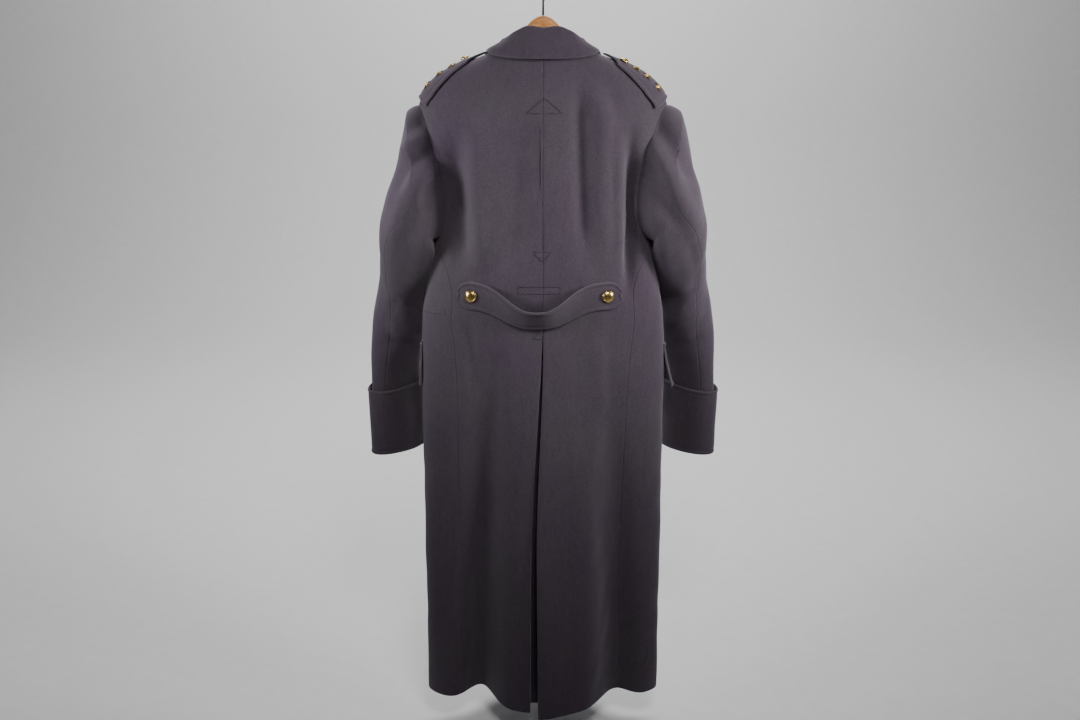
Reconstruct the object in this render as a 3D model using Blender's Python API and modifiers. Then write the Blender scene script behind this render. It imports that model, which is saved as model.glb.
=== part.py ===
"""A military greatcoat hanging on a wooden hanger, seen from behind.

Metres, +Z up. The origin is where the hook rests on its rail. The back of the coat faces -Y,
the wearer's right is +X. Every panel of cloth is a thin wall on one surface, worked out from
the tables below.
"""
import math

import bmesh
import bpy
import numpy as np
from mathutils import Vector

# Cloth and seams
CLOTH = 0.0026
SEAM = 0.0003
STRAP_CLOTH = 0.0030
BELT_CLOTH = 0.0036
WELT_CLOTH = 0.0016
LAID_ON = SEAM + CLOTH / 2

# Body: one closed section for each height, from the hem to the neck
BODY_COLUMNS = ("height", "half_width", "middle_y", "back", "front", "squareness")
BODY_ROWS = (
    (-1.430, 0.2345, -0.020, 0.085, 0.115, 1.60),
    (-1.150, 0.2330, -0.016, 0.088, 0.112, 1.75),
    (-0.900, 0.2320, -0.010, 0.092, 0.106, 2.00),
    (-0.650, 0.2290, -0.006, 0.094, 0.100, 2.20),
    (-0.610, 0.2260, -0.005, 0.095, 0.099, 2.30),
    (-0.570, 0.2190, -0.005, 0.095, 0.099, 2.30),
    (-0.530, 0.2130, -0.004, 0.096, 0.098, 2.35),
    (-0.490, 0.2075, -0.004, 0.096, 0.098, 2.35),
    (-0.464, 0.2045, -0.003, 0.097, 0.097, 2.40),
    (-0.400, 0.2020, -0.002, 0.098, 0.096, 2.40),
    (-0.345, 0.2085, -0.001, 0.098, 0.094, 2.40),
    (-0.280, 0.2200, 0.000, 0.095, 0.093, 2.20),
    (-0.232, 0.2235, 0.000, 0.089, 0.092, 1.80),
    (-0.215, 0.2175, 0.000, 0.085, 0.088, 1.65),
    (-0.186, 0.1920, 0.000, 0.077, 0.073, 1.60),
    (-0.160, 0.1470, 0.000, 0.068, 0.057, 1.70),
    (-0.143, 0.1000, 0.000, 0.060, 0.046, 2.10),
    (-0.130, 0.0700, 0.000, 0.054, 0.036, 2.40),
)

# Folds: soft troughs (depth above 0) and ridges (below 0) that run down a face of the coat
FOLD_COLUMNS = ("face", "side", "x_top", "x_hem", "top", "full", "bottom", "width", "depth")
FOLD_ROWS = (
    ("back", "both", -0.084, -0.116, -0.560, -1.360, -2.000, 0.040, 0.084),
    ("back", "both", 0.128, 0.152, -0.560, -1.360, -2.000, 0.038, 0.050),
    ("back", "left", -0.030, -0.030, -0.700, -1.400, -2.000, 0.050, 0.012),
    ("back", "right", 0.020, 0.015, -0.700, -1.400, -2.000, 0.055, -0.014),
    ("back", "both", -0.150, -0.145, -0.260, -0.400, -0.560, 0.036, 0.005),
    ("back", "both", 0.105, 0.115, -0.200, -0.360, -0.560, 0.036, 0.006),
    ("front", "both", -0.150, -0.165, -0.600, -1.400, -2.000, 0.045, 0.030),
    ("front", "both", 0.140, 0.155, -0.600, -1.400, -2.000, 0.045, 0.034),
    ("front", "both", -0.030, -0.045, -0.700, -1.400, -2.000, 0.060, -0.012),
)
FOLD_FADE = 0.35

# Centre back and hem
HEM_SIDE = -1.391
HEM_CENTRE_DROP = 0.022
LEAN_HEM = -0.018
LEAN_TOP = -0.600
LEAN_FULL = -1.100
PLEAT_TOP = -0.630
PLEAT_SLIT = 0.015
RETURN_SEAM = 0.006
RETURN_SKIRT = 0.034
RETURN_COLUMNS = 2
RETURN_FULL = 0.12
BACK_COLUMNS = 12
UNDERLAY_HALF_WIDTH = 0.045
UNDERLAY_FIRST_ROW = 4
UNDERLAY_GAP = 0.0008
NECK_BACK = -0.146

# Armholes, shoulders and side seams
SHOULDER_TIP = -0.232
NECK_POINT = -0.130
ARM_JOIN = -0.464
ARM_JOIN_ANGLE = math.radians(72)
ARM_BACK_DEGREES = {"left": 20.0, "right": 27.0}
ARM_FRONT_DEGREES = 40.0
ARM_BACK_FULLNESS = 0.6
ARM_FRONT_FULLNESS = 1.0
SEAM_COLUMNS = ("height", "degrees")
SEAM_ROWS = ((-1.430, 48.0), (-0.770, 42.0), (-0.570, 46.0), (-0.530, 51.0), (-0.495, 61.0), (-0.464, 72.0))
SEAM_ANGLE = 0.0023
SHOULDER_ROWS = 5
ARM_ROWS = 8
SKIRT_ROWS = 12
SKIRT_SPACING = 1.30
ARM_GAP = 0.0027
ARM_OUT = (0.95, 0.0, 0.30)

# Fronts
OVERLAP_X = 0.095
BREAK_HEIGHT = -0.400
BREAK_X = 0.006
ROLL_X = 0.070
LAP = CLOTH / 2 + 0.0012
LAP_TOP = -0.330
LAP_BOTTOM = -0.440
LAP_START = math.radians(100)
LAP_FULL = math.radians(140)
EDGE_TURN = 0.12
FRONT_COLUMNS = 16

# Lapels: width and rise of the outer edge from the roll line, by share of the roll line
LAPEL_TOP_SHARE = 0.37
LAPEL_BOTTOM_SHARE = 0.985
LAPEL_GAP = 0.0010
LAPEL_LIFT = 0.004
LAPEL_COLUMNS = ("share", "width", "rise")
LAPEL_ROWS = ((0.0, 0.070, 0.020), (0.12, 0.088, 0.026), (0.5, 0.062, 0.012), (1.0, 0.006, 0.000))

# Collar: stations from the centre back to the front end
COLLAR_COLUMNS = ("share", "base_degrees", "base_z", "roll_z", "leaf_degrees", "leaf_z")
COLLAR_ROWS = (
    (0.00, 0.0, -0.1455, -0.1060, 0.0, -0.1570),
    (0.09, 13.5, -0.1450, -0.0985, 13.5, -0.1565),
    (0.17, 25.5, -0.1435, -0.1060, 25.5, -0.1550),
    (0.30, 45.0, -0.1405, -0.1165, 45.0, -0.1505),
    (0.60, 90.0, -0.1290, -0.1195, 90.0, -0.1420),
    (0.80, 151.0, -0.1490, -0.1370, 138.0, -0.1600),
    (1.00, 165.5, -0.1780, -0.1690, 153.0, -0.1960),
)
COLLAR_ROLL_OUTS = (-0.004, 0.0065)
COLLAR_ROLL_RADIUS = 0.0034
COLLAR_LIFT = 0.0004
COLLAR_LEAF_OUT = 0.0075
COLLAR_BASE_SHARES = (0.985, 0.860)
COLLAR_BELLY = 0.004
COLLAR_BELLY_SHARE = 0.55
COLLAR_FORWARD = (0.5, 0.8)
COLLAR_KNOTS = (0.0, 0.4, 0.5, 0.6, 0.8, 1.0)

# Sleeves: the outer and inner ends of each ring, and half its depth across them
SLEEVE_COLUMNS = ("along", "outer_x", "outer_y", "outer_z", "inner_x", "inner_y", "inner_z", "half_depth")
SLEEVE_ROWS = (
    (0.00, 0.2440, 0.000, -0.230, 0.205, -0.037, -0.461, 0.068),
    (0.12, 0.2580, 0.000, -0.272, 0.209, -0.026, -0.463, 0.068),
    (0.25, 0.2720, 0.004, -0.338, 0.212, -0.010, -0.482, 0.066),
    (0.38, 0.2880, 0.010, -0.402, 0.217, 0.010, -0.516, 0.064),
    (0.50, 0.3010, 0.016, -0.478, 0.225, 0.036, -0.560, 0.058),
    (0.62, 0.3120, 0.020, -0.556, 0.238, 0.062, -0.608, 0.052),
    (0.74, 0.3200, 0.016, -0.640, 0.249, 0.084, -0.662, 0.042),
    (0.86, 0.3260, 0.010, -0.745, 0.258, 0.100, -0.750, 0.032),
    (1.00, 0.3300, 0.010, -0.900, 0.250, 0.104, -0.900, 0.030),
)
HEAD_DRAWN_IN = {"left": 0.008, "right": 0.0}
HEAD_AT = 0.20
HEAD_LENGTH = 0.15
AXIS_STEP = 0.01
ACROSS_TURNS = (0.08, 0.45)
SLEEVE_BLENDS = (0.06, 0.20)
HIND_COLUMNS = ("along", "degrees")
HIND_ROWS = ((0.0, 90.0), (0.25, 92.0), (0.38, 73.0), (0.5, 58.0), (0.62, 46.0), (0.8, 34.0), (1.0, 28.0))
FORE_SEAM = math.radians(-112.5)
SLEEVE_SEAM = 0.0052
SLEEVE_END = 0.995
CUFF_TOP = 0.882
CUFF_OUT_TOP = 0.0085
CUFF_OUT_BOTTOM = CLOTH + SEAM + 0.0006
CUFF_SEAM = math.radians(150)
CUFF_FLARE = 0.7

# Straps, belt, flaps and welt
STRAP_OUTER_X = 0.2195
STRAP_INNER_X = 0.1130
STRAP_HALF_WIDTH = (0.025, 0.018)
STRAP_POINT = 0.82
STRAP_TIP = 0.25
STRAP_GAP = 0.0015
STRAP_BACK = {"left": 0.006, "right": 0.014}
STRAP_FALL = 0.55
STRAP_RIDGE = 0.006
STRAP_BUTTON_SHARE = 0.80
PIP_SHARES = (0.14, 0.35, 0.56)
BELT_CENTRE_X = -0.0065
BELT_HALF_LENGTH = 0.1485
BELT_HALF_WIDTH = 0.0255
BELT_HEIGHT = -0.5640
BELT_SAG = 0.0400
BELT_BOW = 0.0200
BELT_TILT = math.radians(44)
BELT_SAG_X = -0.0050
BELT_SAG_WIDTH = 0.068
BELT_SAG_POWER = 2.6
BELT_GAP = 0.0006
BELT_ROUND = 0.86
BELT_END = 0.80
BELT_BUTTON_X = 0.1220
BUTTON_GAP = 0.0009
FLAP_DEGREES = (80.0, 124.0)
FLAP_TOP = -0.668
FLAP_DEPTH = 0.074
FLAP_BEND = 1.5
FLAP_STAND_OFF = {"left": 0.004, "right": 0.017}
WELT_DEGREES = (50.0, 79.0)
WELT_HEIGHT = -0.5985
WELT_HALF_HEIGHT = 0.0055
WELT_GAP = -0.0006

# Buttons and rank stars: radius and height of each size
STRAP_BUTTON = (0.0082, 0.0052)
BELT_BUTTON = (0.0112, 0.0066)
FRONT_BUTTON = (0.0120, 0.0070)
BUTTON_STEPS = 14
BUTTON_DOME = ((0.0, 1.0), (0.45, 0.93), (0.80, 0.66), (0.96, 0.42))
BUTTON_RIM = ((1.0, 0.30), (0.96, 0.12), (0.80, 0.0), (0.0, 0.0))
FRONT_BUTTON_X = 0.068
FRONT_BUTTON_HEIGHTS = (-0.530, -0.650, -0.770, -0.890)
FRONT_BUTTON_GAP = 0.0004
PIP_GAP = 0.0004
PIP_RADIUS = 0.0095
PIP_WAIST = 0.42
PIP_TOP = 0.16
PIP_HEIGHT = 0.0034

# Hanger
BAR_HALF_LENGTH = 0.196
BAR_HALF_HEIGHT = 0.0105
BAR_DEPTH_SHARE = 0.72
BAR_TOP = -0.0760
BAR_SHOULDER_X = 0.066
BAR_CLEAR = 0.0054
BAR_POINTS = 27
BAR_TAPER_PLACES = (0.0, 0.015, 0.020)
BAR_TAPER_SHARES = (0.4, 0.8, 1.0)
HOOK_RADIUS = 0.020
HOOK_WIRE = 0.0019
HOOK_SHANK_TOP = -0.052
HOOK_ARC_DEGREES = (-48.0, 205.0)
HOOK_POINTS = 17
HOOK_BEND_SHARE = 0.5
HOOK_BEND_X = -0.0015

# Columns and rows of the small pieces' grids
UNDERLAY_COLUMNS = 4
COLLAR_GRID = (26, 10)
BELT_GRID = (34, 4)
WELT_GRID = (6, 1)
LAPEL_GRID = (6, 8)
TOP_SLEEVE_GRID = (9, 16)
UNDER_SLEEVE_GRID = (7, 16)
CUFF_GRID = (20, 5)
STRAP_GRID = (6, 10)
FLAP_GRID = (8, 4)

MERGE = 0.00001
NORMAL_STEP = 0.0001
SIDES = {"left": -1.0, "right": 1.0}


def column(rows, columns, name):
    """One named column of a table, as an array."""
    return np.array([row[columns.index(name)] for row in rows])


def smooth(at, places, values):
    """Cubic through a table that never overshoots: each slope is the harmonic mean of its neighbours'."""
    step = np.diff(places)
    rise = np.diff(values) / step
    slope = np.concatenate(([rise[0]], np.zeros(len(step) - 1), [rise[-1]]))
    product = rise[:-1] * rise[1:]
    total = np.where(product > 0, rise[:-1] + rise[1:], 1.0)
    slope[1:-1] = np.where(product > 0, 2 * product / total, 0.0)
    at = np.clip(at, places[0], places[-1])
    k = np.clip(np.searchsorted(places, at) - 1, 0, len(step) - 1)
    t = (at - places[k]) / step[k]
    keep = values[k] * (1 - t) ** 2 * (1 + 2 * t) + values[k + 1] * t**2 * (3 - 2 * t)
    return keep + step[k] * (slope[k] * t * (1 - t) ** 2 - slope[k + 1] * t**2 * (1 - t))


def body_column(name, height):
    places = column(BODY_ROWS, BODY_COLUMNS, "height")
    return smooth(height, places, column(BODY_ROWS, BODY_COLUMNS, name))


def ramp(value, start, end):
    """Smooth step from 0 at start to 1 at end."""
    t = np.clip((value - start) / (end - start), 0.0, 1.0)
    return t * t * (3 - 2 * t)


def power(value, exponent):
    return np.sign(value) * np.abs(value) ** exponent


def lerp(a, b, t):
    return a + (b - a) * t


def stack(x, y, z):
    return np.stack(np.broadcast_arrays(x, y, z), axis=-1)


def fold_offset(x, height, facing, side):
    """Sum of the folds on the back or the front, each a bell across and a slow rise down its length."""
    total = np.zeros_like(x)
    for row in FOLD_ROWS:
        fold = dict(zip(FOLD_COLUMNS, row))
        if fold["side"] not in ("both", side):
            continue
        down = ramp(-height, -fold["top"], -fold["full"])
        fade = 1 - ramp(-height, -fold["full"], -fold["bottom"])
        centre = lerp(fold["x_top"], fold["x_hem"], down)
        bell = np.exp(-(((x - centre) / fold["width"]) ** 2))
        on_face = facing if fold["face"] == "back" else -facing
        total += np.where(on_face > 0, 1, 0) * np.sign(facing) * fold["depth"] * down * fade * bell
    return total


def lean(height):
    return LEAN_HEM * ramp(-height, -LEAN_TOP, -LEAN_FULL)


def body_plain(angle, height, side):
    """Point of the body at an angle from the centre back: a squared ellipse with folds and a slight lean."""
    half_width = body_column("half_width", height)
    exponent = 2 / body_column("squareness", height)
    sine, facing = np.sin(angle), np.cos(angle)
    x = half_width * power(sine, exponent)
    depth = np.where(facing > 0, body_column("back", height), body_column("front", height))
    near_face = ramp(np.abs(facing), 0.0, FOLD_FADE)
    y = body_column("middle_y", height) - depth * power(facing, exponent)
    y = y + fold_offset(x, height, facing, side) * near_face
    x = x + np.where(facing > 0, lean(height) * (1 - np.abs(x) / half_width), 0.0)
    return stack(x, y, height)


def body(angle, height, side, out=0.0):
    """Point of the body, moved out along the surface's normal."""
    angle, height = np.broadcast_arrays(np.asarray(angle, float), np.asarray(height, float))
    step = NORMAL_STEP
    point = body_plain(angle, height, side)
    across = body_plain(angle + step, height, side) - body_plain(angle - step, height, side)
    upward = body_plain(angle, height + step, side) - body_plain(angle, height - step, side)
    normal = np.cross(across, upward)
    normal /= np.maximum(np.linalg.norm(normal, axis=-1, keepdims=True), 1e-12)
    return point + normal * np.asarray(out)[..., None]


def angle_at_x(x, height):
    """Angle on the back where the plain section reaches x."""
    share = np.clip(np.abs(x) / body_column("half_width", height), 0.0, 1.0)
    return np.sign(x) * np.arcsin(share ** (body_column("squareness", height) / 2))


def armhole(turn, side):
    """Angle and height on the armhole: turn is 0 at the shoulder tip, pi or -pi at the side seam."""
    sine = np.abs(np.sin(turn))
    behind = -np.radians(ARM_BACK_DEGREES[side]) * sine**ARM_BACK_FULLNESS
    before = np.radians(ARM_FRONT_DEGREES) * sine**ARM_FRONT_FULLNESS
    angle = lerp(math.pi / 2, ARM_JOIN_ANGLE, np.abs(turn) / math.pi) + np.where(turn > 0, behind, before)
    return angle, lerp(SHOULDER_TIP, ARM_JOIN, (1 - np.cos(turn)) / 2)


def seam_angle(height):
    places = column(SEAM_ROWS, SEAM_COLUMNS, "height")
    return np.radians(smooth(height, places, column(SEAM_ROWS, SEAM_COLUMNS, "degrees")))


def back_edge_angle(height, side):
    """Outer edge of a back half: shoulder seam, armhole, side seam."""
    share = np.clip((SHOULDER_TIP - height) / (SHOULDER_TIP - ARM_JOIN), 0.0, 1.0)
    arm_angle, _ = armhole(np.arccos(1 - 2 * share), side)
    angle = np.where(height > SHOULDER_TIP, math.pi / 2, arm_angle)
    return np.where(height < ARM_JOIN, seam_angle(height), angle) - SEAM_ANGLE


def hem_height(angle):
    return HEM_SIDE - HEM_CENTRE_DROP * np.clip(np.cos(angle), 0.0, 1.0) ** 3


def pleat_share(height):
    return np.clip((PLEAT_TOP - height) / (PLEAT_TOP - HEM_SIDE), 0.0, 1.0)


def neck_height(angle):
    """Height of the back neckline, lowest at the centre back."""
    return lerp(NECK_BACK, NECK_POINT, np.clip(np.abs(angle) / (math.pi / 2), 0.0, 1.0) ** 2)


def skirt_height(share, hem):
    """Heights of the rows below the armhole, which the back and the fronts share."""
    return lerp(ARM_JOIN, hem, share**SKIRT_SPACING)


def fold_angle(height):
    """Angle of the fold at the centre back, which opens as a slit below the belt."""
    slit = SEAM + PLEAT_SLIT * pleat_share(height)
    return angle_at_x(slit / 2 + CLOTH / 2, height)


def return_depth(height):
    """How far the cloth turns in at the centre back: a seam's width above, a pleat below the belt."""
    return lerp(RETURN_SEAM, RETURN_SKIRT, ramp(-height, -PLEAT_TOP, RETURN_FULL - PLEAT_TOP))


def back_half(side):
    """A back half: u runs from the inner end of the pleat's return, over its fold, to the outer edge."""
    sign = SIDES[side]

    def surface(u, v, lift):
        turned = RETURN_COLUMNS / BACK_COLUMNS
        out = np.clip((u - turned) / (1 - turned), 0.0, 1.0)
        inward = np.clip(1 - u / turned, 0.0, 1.0)
        row = v * (SHOULDER_ROWS + ARM_ROWS + SKIRT_ROWS)
        shoulder = lerp(neck_height(out * math.pi / 2), SHOULDER_TIP, np.clip(row / SHOULDER_ROWS, 0.0, 1.0))
        arm_turn = np.clip((row - SHOULDER_ROWS) / ARM_ROWS, 0.0, 1.0) * math.pi
        arm = armhole(arm_turn, side)[1]
        skirt_share = np.clip((row - SHOULDER_ROWS - ARM_ROWS) / SKIRT_ROWS, 0.0, 1.0)
        skirt = skirt_height(skirt_share, hem_height(out * math.pi / 4))
        upper = np.where(row < SHOULDER_ROWS, shoulder, arm)
        height = np.where(row < SHOULDER_ROWS + ARM_ROWS, upper, skirt)
        angle = sign * lerp(fold_angle(height), back_edge_angle(height, side), out)
        point = body(angle, height, side, np.where(inward > 0, 0.0, lift))
        sideways = np.where((inward > 0) | (out == 0), -sign * lift, 0.0)
        return point + stack(sideways, return_depth(height) * inward, 0.0)

    return surface


def skirt_underlay(u, v):
    """The underlay of the pleat: a strip just behind the ends of both returns."""
    share = lerp(UNDERLAY_FIRST_ROW / SKIRT_ROWS, 1.0, v)
    height = skirt_height(share, hem_height(0.0))
    ends = [body(sign * fold_angle(height), height, side)[..., 1] for side, sign in SIDES.items()]
    x = lean(height) + lerp(-UNDERLAY_HALF_WIDTH, UNDERLAY_HALF_WIDTH, u)
    return stack(x, np.maximum(*ends) + return_depth(height) + CLOTH / 2 + UNDERLAY_GAP, height)


def roll_line(share):
    """The fold of a lapel: its x on its own side and its height, from the neck to the break."""
    return lerp(ROLL_X, BREAK_X, share), lerp(NECK_POINT, BREAK_HEIGHT, share)


def lap_out(side, angle, height):
    """Below the lapels the left front lies over the right one: how far each moves off their surface."""
    below = ramp(-height, -LAP_TOP, -LAP_BOTTOM)
    return -SIDES[side] * LAP * ramp(np.abs(angle), LAP_START, LAP_FULL) * below


def front(side):
    """A front: u runs from the armhole and side seam to the roll line and front edge."""
    sign = SIDES[side]

    def surface(u, v, lift):
        row = v * (ARM_ROWS + SKIRT_ROWS)
        arm_share = np.clip(row / ARM_ROWS, 0.0, 1.0)
        skirt_share = np.clip((row - ARM_ROWS) / SKIRT_ROWS, 0.0, 1.0)
        arm_angle, arm_height = armhole(-arm_share * math.pi, side)
        seam_height = skirt_height(skirt_share, hem_height(math.pi / 4))
        below = row > ARM_ROWS
        start_height = np.where(below, seam_height, arm_height)
        start_angle = np.where(below, seam_angle(seam_height), arm_angle) + SEAM_ANGLE
        roll_x, roll_height = roll_line(arm_share)
        edge_x = lerp(BREAK_X, -OVERLAP_X, ramp(skirt_share, 0.0, EDGE_TURN))
        edge_height = skirt_height(skirt_share, HEM_SIDE) + (BREAK_HEIGHT - ARM_JOIN) * (1 - skirt_share) ** 3
        end_x = np.where(below, edge_x, roll_x)
        end_height = np.where(below, edge_height, roll_height)
        end_angle = math.pi - angle_at_x(end_x, end_height)
        angle = lerp(start_angle, end_angle, u)
        height = lerp(start_height, end_height, u ** (1 + arm_share))
        return body(sign * angle, height, side, lap_out(side, angle, height) + lift)

    return surface


def lapel(side):
    """A lapel: laid on its front, from the roll line at u = 0 to its outer edge at u = 1."""
    sign = SIDES[side]

    def surface(u, v):
        share = lerp(LAPEL_TOP_SHARE, LAPEL_BOTTOM_SHARE, v)
        roll_x, roll_height = roll_line(share)
        places = column(LAPEL_ROWS, LAPEL_COLUMNS, "share")
        width = smooth(v, places, column(LAPEL_ROWS, LAPEL_COLUMNS, "width"))
        rise = smooth(v, places, column(LAPEL_ROWS, LAPEL_COLUMNS, "rise"))
        height = roll_height + rise * u
        angle = math.pi - angle_at_x(roll_x + width * u, height)
        lift = CLOTH + LAPEL_GAP + LAPEL_LIFT * np.sin(math.pi * u)
        return body(sign * angle, height, side, lap_out(side, angle, height) + lift)

    return surface


def collar(u, v):
    """The collar: u runs round the neck, v up the stand, over the roll and down the leaf."""
    around = 2 * u - 1
    sign = np.where(around < 0, -1.0, 1.0)
    share = np.abs(around)
    places = column(COLLAR_ROWS, COLLAR_COLUMNS, "share")
    at = {name: smooth(share, places, column(COLLAR_ROWS, COLLAR_COLUMNS, name)) for name in COLLAR_COLUMNS}
    base = body(sign * np.radians(at["base_degrees"]), at["base_z"] + COLLAR_LIFT, "right")
    forward = ramp(share, *COLLAR_FORWARD)
    draw_in = lerp(*COLLAR_BASE_SHARES, forward)
    base = base * stack(draw_in, draw_in, 1.0)
    leaf = body(sign * np.radians(at["leaf_degrees"]), at["leaf_z"], "right", COLLAR_LEAF_OUT)
    flat = np.array((1.0, 1.0, 0.0))
    outward = (leaf - base) * flat
    outward /= np.linalg.norm(outward, axis=-1, keepdims=True)
    roll_out = lerp(*COLLAR_ROLL_OUTS, forward)
    roll = body(sign * np.radians(at["base_degrees"]), at["base_z"], "right", roll_out)
    roll = roll * flat + stack(0.0, 0.0, at["roll_z"])
    bend = COLLAR_ROLL_RADIUS * (outward - np.array((0.0, 0.0, 1.0)))
    back_bend = COLLAR_ROLL_RADIUS * (-outward - np.array((0.0, 0.0, 1.0)))
    belly = lerp(roll + bend, leaf, COLLAR_BELLY_SHARE) + outward * COLLAR_BELLY
    profile = np.stack((base, roll + back_bend, roll, roll + bend, belly, leaf))
    knots = np.array(COLLAR_KNOTS)
    k = np.clip(np.searchsorted(knots, v, side="right") - 1, 0, len(knots) - 2)
    t = ((v - knots[k]) / (knots[k + 1] - knots[k]))[:, None]
    each = np.arange(len(v))
    return lerp(profile[k, each], profile[k + 1, each], t)


def sleeve_point(turn, along, side, out=0.0):
    """Point of a sleeve: turn is 0 on its outer edge and positive behind, along runs to the hand."""
    sign = SIDES[side]
    mirror = np.array((sign, 1.0, 1.0))
    places = column(SLEEVE_ROWS, SLEEVE_COLUMNS, "along")

    def ends(at):
        value = {name: smooth(at, places, column(SLEEVE_ROWS, SLEEVE_COLUMNS, name))
                 for name in SLEEVE_COLUMNS}
        drawn_in = HEAD_DRAWN_IN[side] * np.exp(-(((at - HEAD_AT) / HEAD_LENGTH) ** 2))
        outer = stack(value["outer_x"] - drawn_in, value["outer_y"], value["outer_z"])
        inner = stack(value["inner_x"], value["inner_y"], value["inner_z"])
        return outer, inner, value["half_depth"]

    outer, inner, half_depth = ends(along)
    ahead_outer, ahead_inner, _ = ends(along + AXIS_STEP)
    behind_outer, behind_inner, _ = ends(along - AXIS_STEP)
    axis = ahead_outer + ahead_inner - behind_outer - behind_inner
    long_half = (outer - inner) / 2
    across = np.cross(axis, long_half)
    across /= np.linalg.norm(across, axis=-1, keepdims=True)
    across = lerp(np.array((0.0, -1.0, 0.0)), across, ramp(along, *ACROSS_TURNS)[..., None])
    across *= (half_depth / np.linalg.norm(across, axis=-1))[..., None]
    radial = long_half * np.cos(turn)[..., None] + across * np.sin(turn)[..., None]
    ring = (outer + inner) / 2 + radial
    long_length = np.linalg.norm(long_half, axis=-1)[..., None]
    outward = long_half * (np.cos(turn)[..., None] / long_length**2)
    outward = outward + across * (np.sin(turn) / half_depth**2)[..., None]
    outward /= np.linalg.norm(outward, axis=-1, keepdims=True)
    loop_turn = (turn + math.pi) % (2 * math.pi) - math.pi
    arm_angle, arm_height = armhole(loop_turn, side)
    loop = body(sign * arm_angle, arm_height, side) * mirror + ARM_GAP * np.array(ARM_OUT)
    share = ramp(along, 0.0, lerp(*SLEEVE_BLENDS, (1 - np.cos(turn)) / 2))[..., None]
    lift = outward * np.broadcast_to(out, turn.shape)[..., None]
    return (lerp(loop, ring, share) + lift) * mirror


def hind_seam(along):
    places = column(HIND_ROWS, HIND_COLUMNS, "along")
    return np.radians(smooth(along, places, column(HIND_ROWS, HIND_COLUMNS, "degrees")))


def top_sleeve(side):
    def surface(u, v, lift):
        along = v * SLEEVE_END
        turn = lerp(FORE_SEAM + SLEEVE_SEAM, hind_seam(along) - SLEEVE_SEAM, u)
        return sleeve_point(turn, along, side, lift)

    return surface


def under_sleeve(side):
    def surface(u, v, lift):
        along = v * SLEEVE_END
        turn = lerp(hind_seam(along) + SLEEVE_SEAM, 2 * math.pi + FORE_SEAM - SLEEVE_SEAM, u)
        return sleeve_point(turn, along, side, lift)

    return surface


def cuff(side):
    """A turned-back cuff: a strip wrapped round the sleeve's end, standing off it at its top edge."""

    def surface(u, v):
        turn = lerp(CUFF_SEAM + SLEEVE_SEAM, CUFF_SEAM + 2 * math.pi - SLEEVE_SEAM, u)
        out = lerp(CUFF_OUT_TOP, CUFF_OUT_BOTTOM, v**CUFF_FLARE)
        return sleeve_point(turn, lerp(CUFF_TOP, 1.0, v), side, out)

    return surface


def ridge_height(x):
    """Height of the shoulder ridge at x."""
    heights = column(BODY_ROWS, BODY_COLUMNS, "height")
    widths = column(BODY_ROWS, BODY_COLUMNS, "half_width")
    on_ridge = heights >= SHOULDER_TIP
    return smooth(x, widths[on_ridge][::-1], heights[on_ridge][::-1])


def shoulder_point(side, x, off_ridge, out):
    """Point on the shoulder, off_ridge metres behind (negative) or before the ridge, by a hyperbola off it."""
    height = ridge_height(x) - STRAP_FALL * (np.hypot(off_ridge, STRAP_RIDGE) - STRAP_RIDGE)
    depth = np.where(off_ridge < 0, body_column("back", height), body_column("front", height))
    share = (np.abs(off_ridge) / depth) ** (body_column("squareness", height) / 2)
    angle = math.pi / 2 + np.sign(off_ridge) * np.arcsin(share)
    return body(SIDES[side] * angle, height, side, out)


def shoulder_strap(side):
    """A shoulder strap: wide at the sleeve, pointed by the collar."""

    def surface(u, v):
        half = lerp(STRAP_HALF_WIDTH[0], STRAP_HALF_WIDTH[1], v)
        half = half * lerp(1.0, STRAP_TIP, np.clip((v - STRAP_POINT) / (1 - STRAP_POINT), 0.0, 1.0))
        x = lerp(STRAP_OUTER_X, STRAP_INNER_X, v)
        off_ridge = (2 * u - 1) * half - STRAP_BACK[side]
        return shoulder_point(side, x, off_ridge, LAID_ON + STRAP_GAP + STRAP_CLOTH / 2)

    return surface


def belt_point(x, across, out=0.0):
    """Point of the half belt: it sags, bows out and tips forward in the middle, by a bell over x."""
    bell = np.exp(-(np.abs((x - BELT_SAG_X) / BELT_SAG_WIDTH) ** BELT_SAG_POWER))
    tilt = BELT_TILT * bell
    height = BELT_HEIGHT - BELT_SAG * bell + across * np.cos(tilt)
    lift = LAID_ON + BELT_GAP + BELT_CLOTH / 2 + out
    surface = body(angle_at_x(x + BELT_CENTRE_X, height), height, "right", lift)
    return surface - stack(0.0, BELT_BOW * bell + across * np.sin(tilt), 0.0)


def half_belt(u, v):
    """The half belt with rounded ends."""
    along = 2 * u - 1
    end = np.clip((np.abs(along) - BELT_ROUND) / (1 - BELT_ROUND), 0.0, 1.0)
    half = BELT_HALF_WIDTH * np.sqrt(1 - BELT_END * end**2)
    return belt_point(along * BELT_HALF_LENGTH, (2 * v - 1) * half)


def pocket_flap(side):
    """A pocket flap: sewn along its top edge, standing off the skirt at its lower edge."""
    sign = SIDES[side]

    def surface(u, v):
        angle = np.radians(lerp(FLAP_DEGREES[0], FLAP_DEGREES[1], u))
        height = FLAP_TOP - FLAP_DEPTH * v
        out = LAID_ON + CLOTH / 2 + FLAP_STAND_OFF[side] * v**FLAP_BEND
        return body(sign * angle, height, side, lap_out(side, angle, height) + out)

    return surface


def hip_welt(u, v):
    """The welt of the slit at the left hip."""
    angle = np.radians(lerp(WELT_DEGREES[0], WELT_DEGREES[1], u))
    height = WELT_HEIGHT + lerp(WELT_HALF_HEIGHT, -WELT_HALF_HEIGHT, v)
    return body(-angle, height, "left", LAID_ON + WELT_GAP + WELT_CLOTH / 2)


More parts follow.
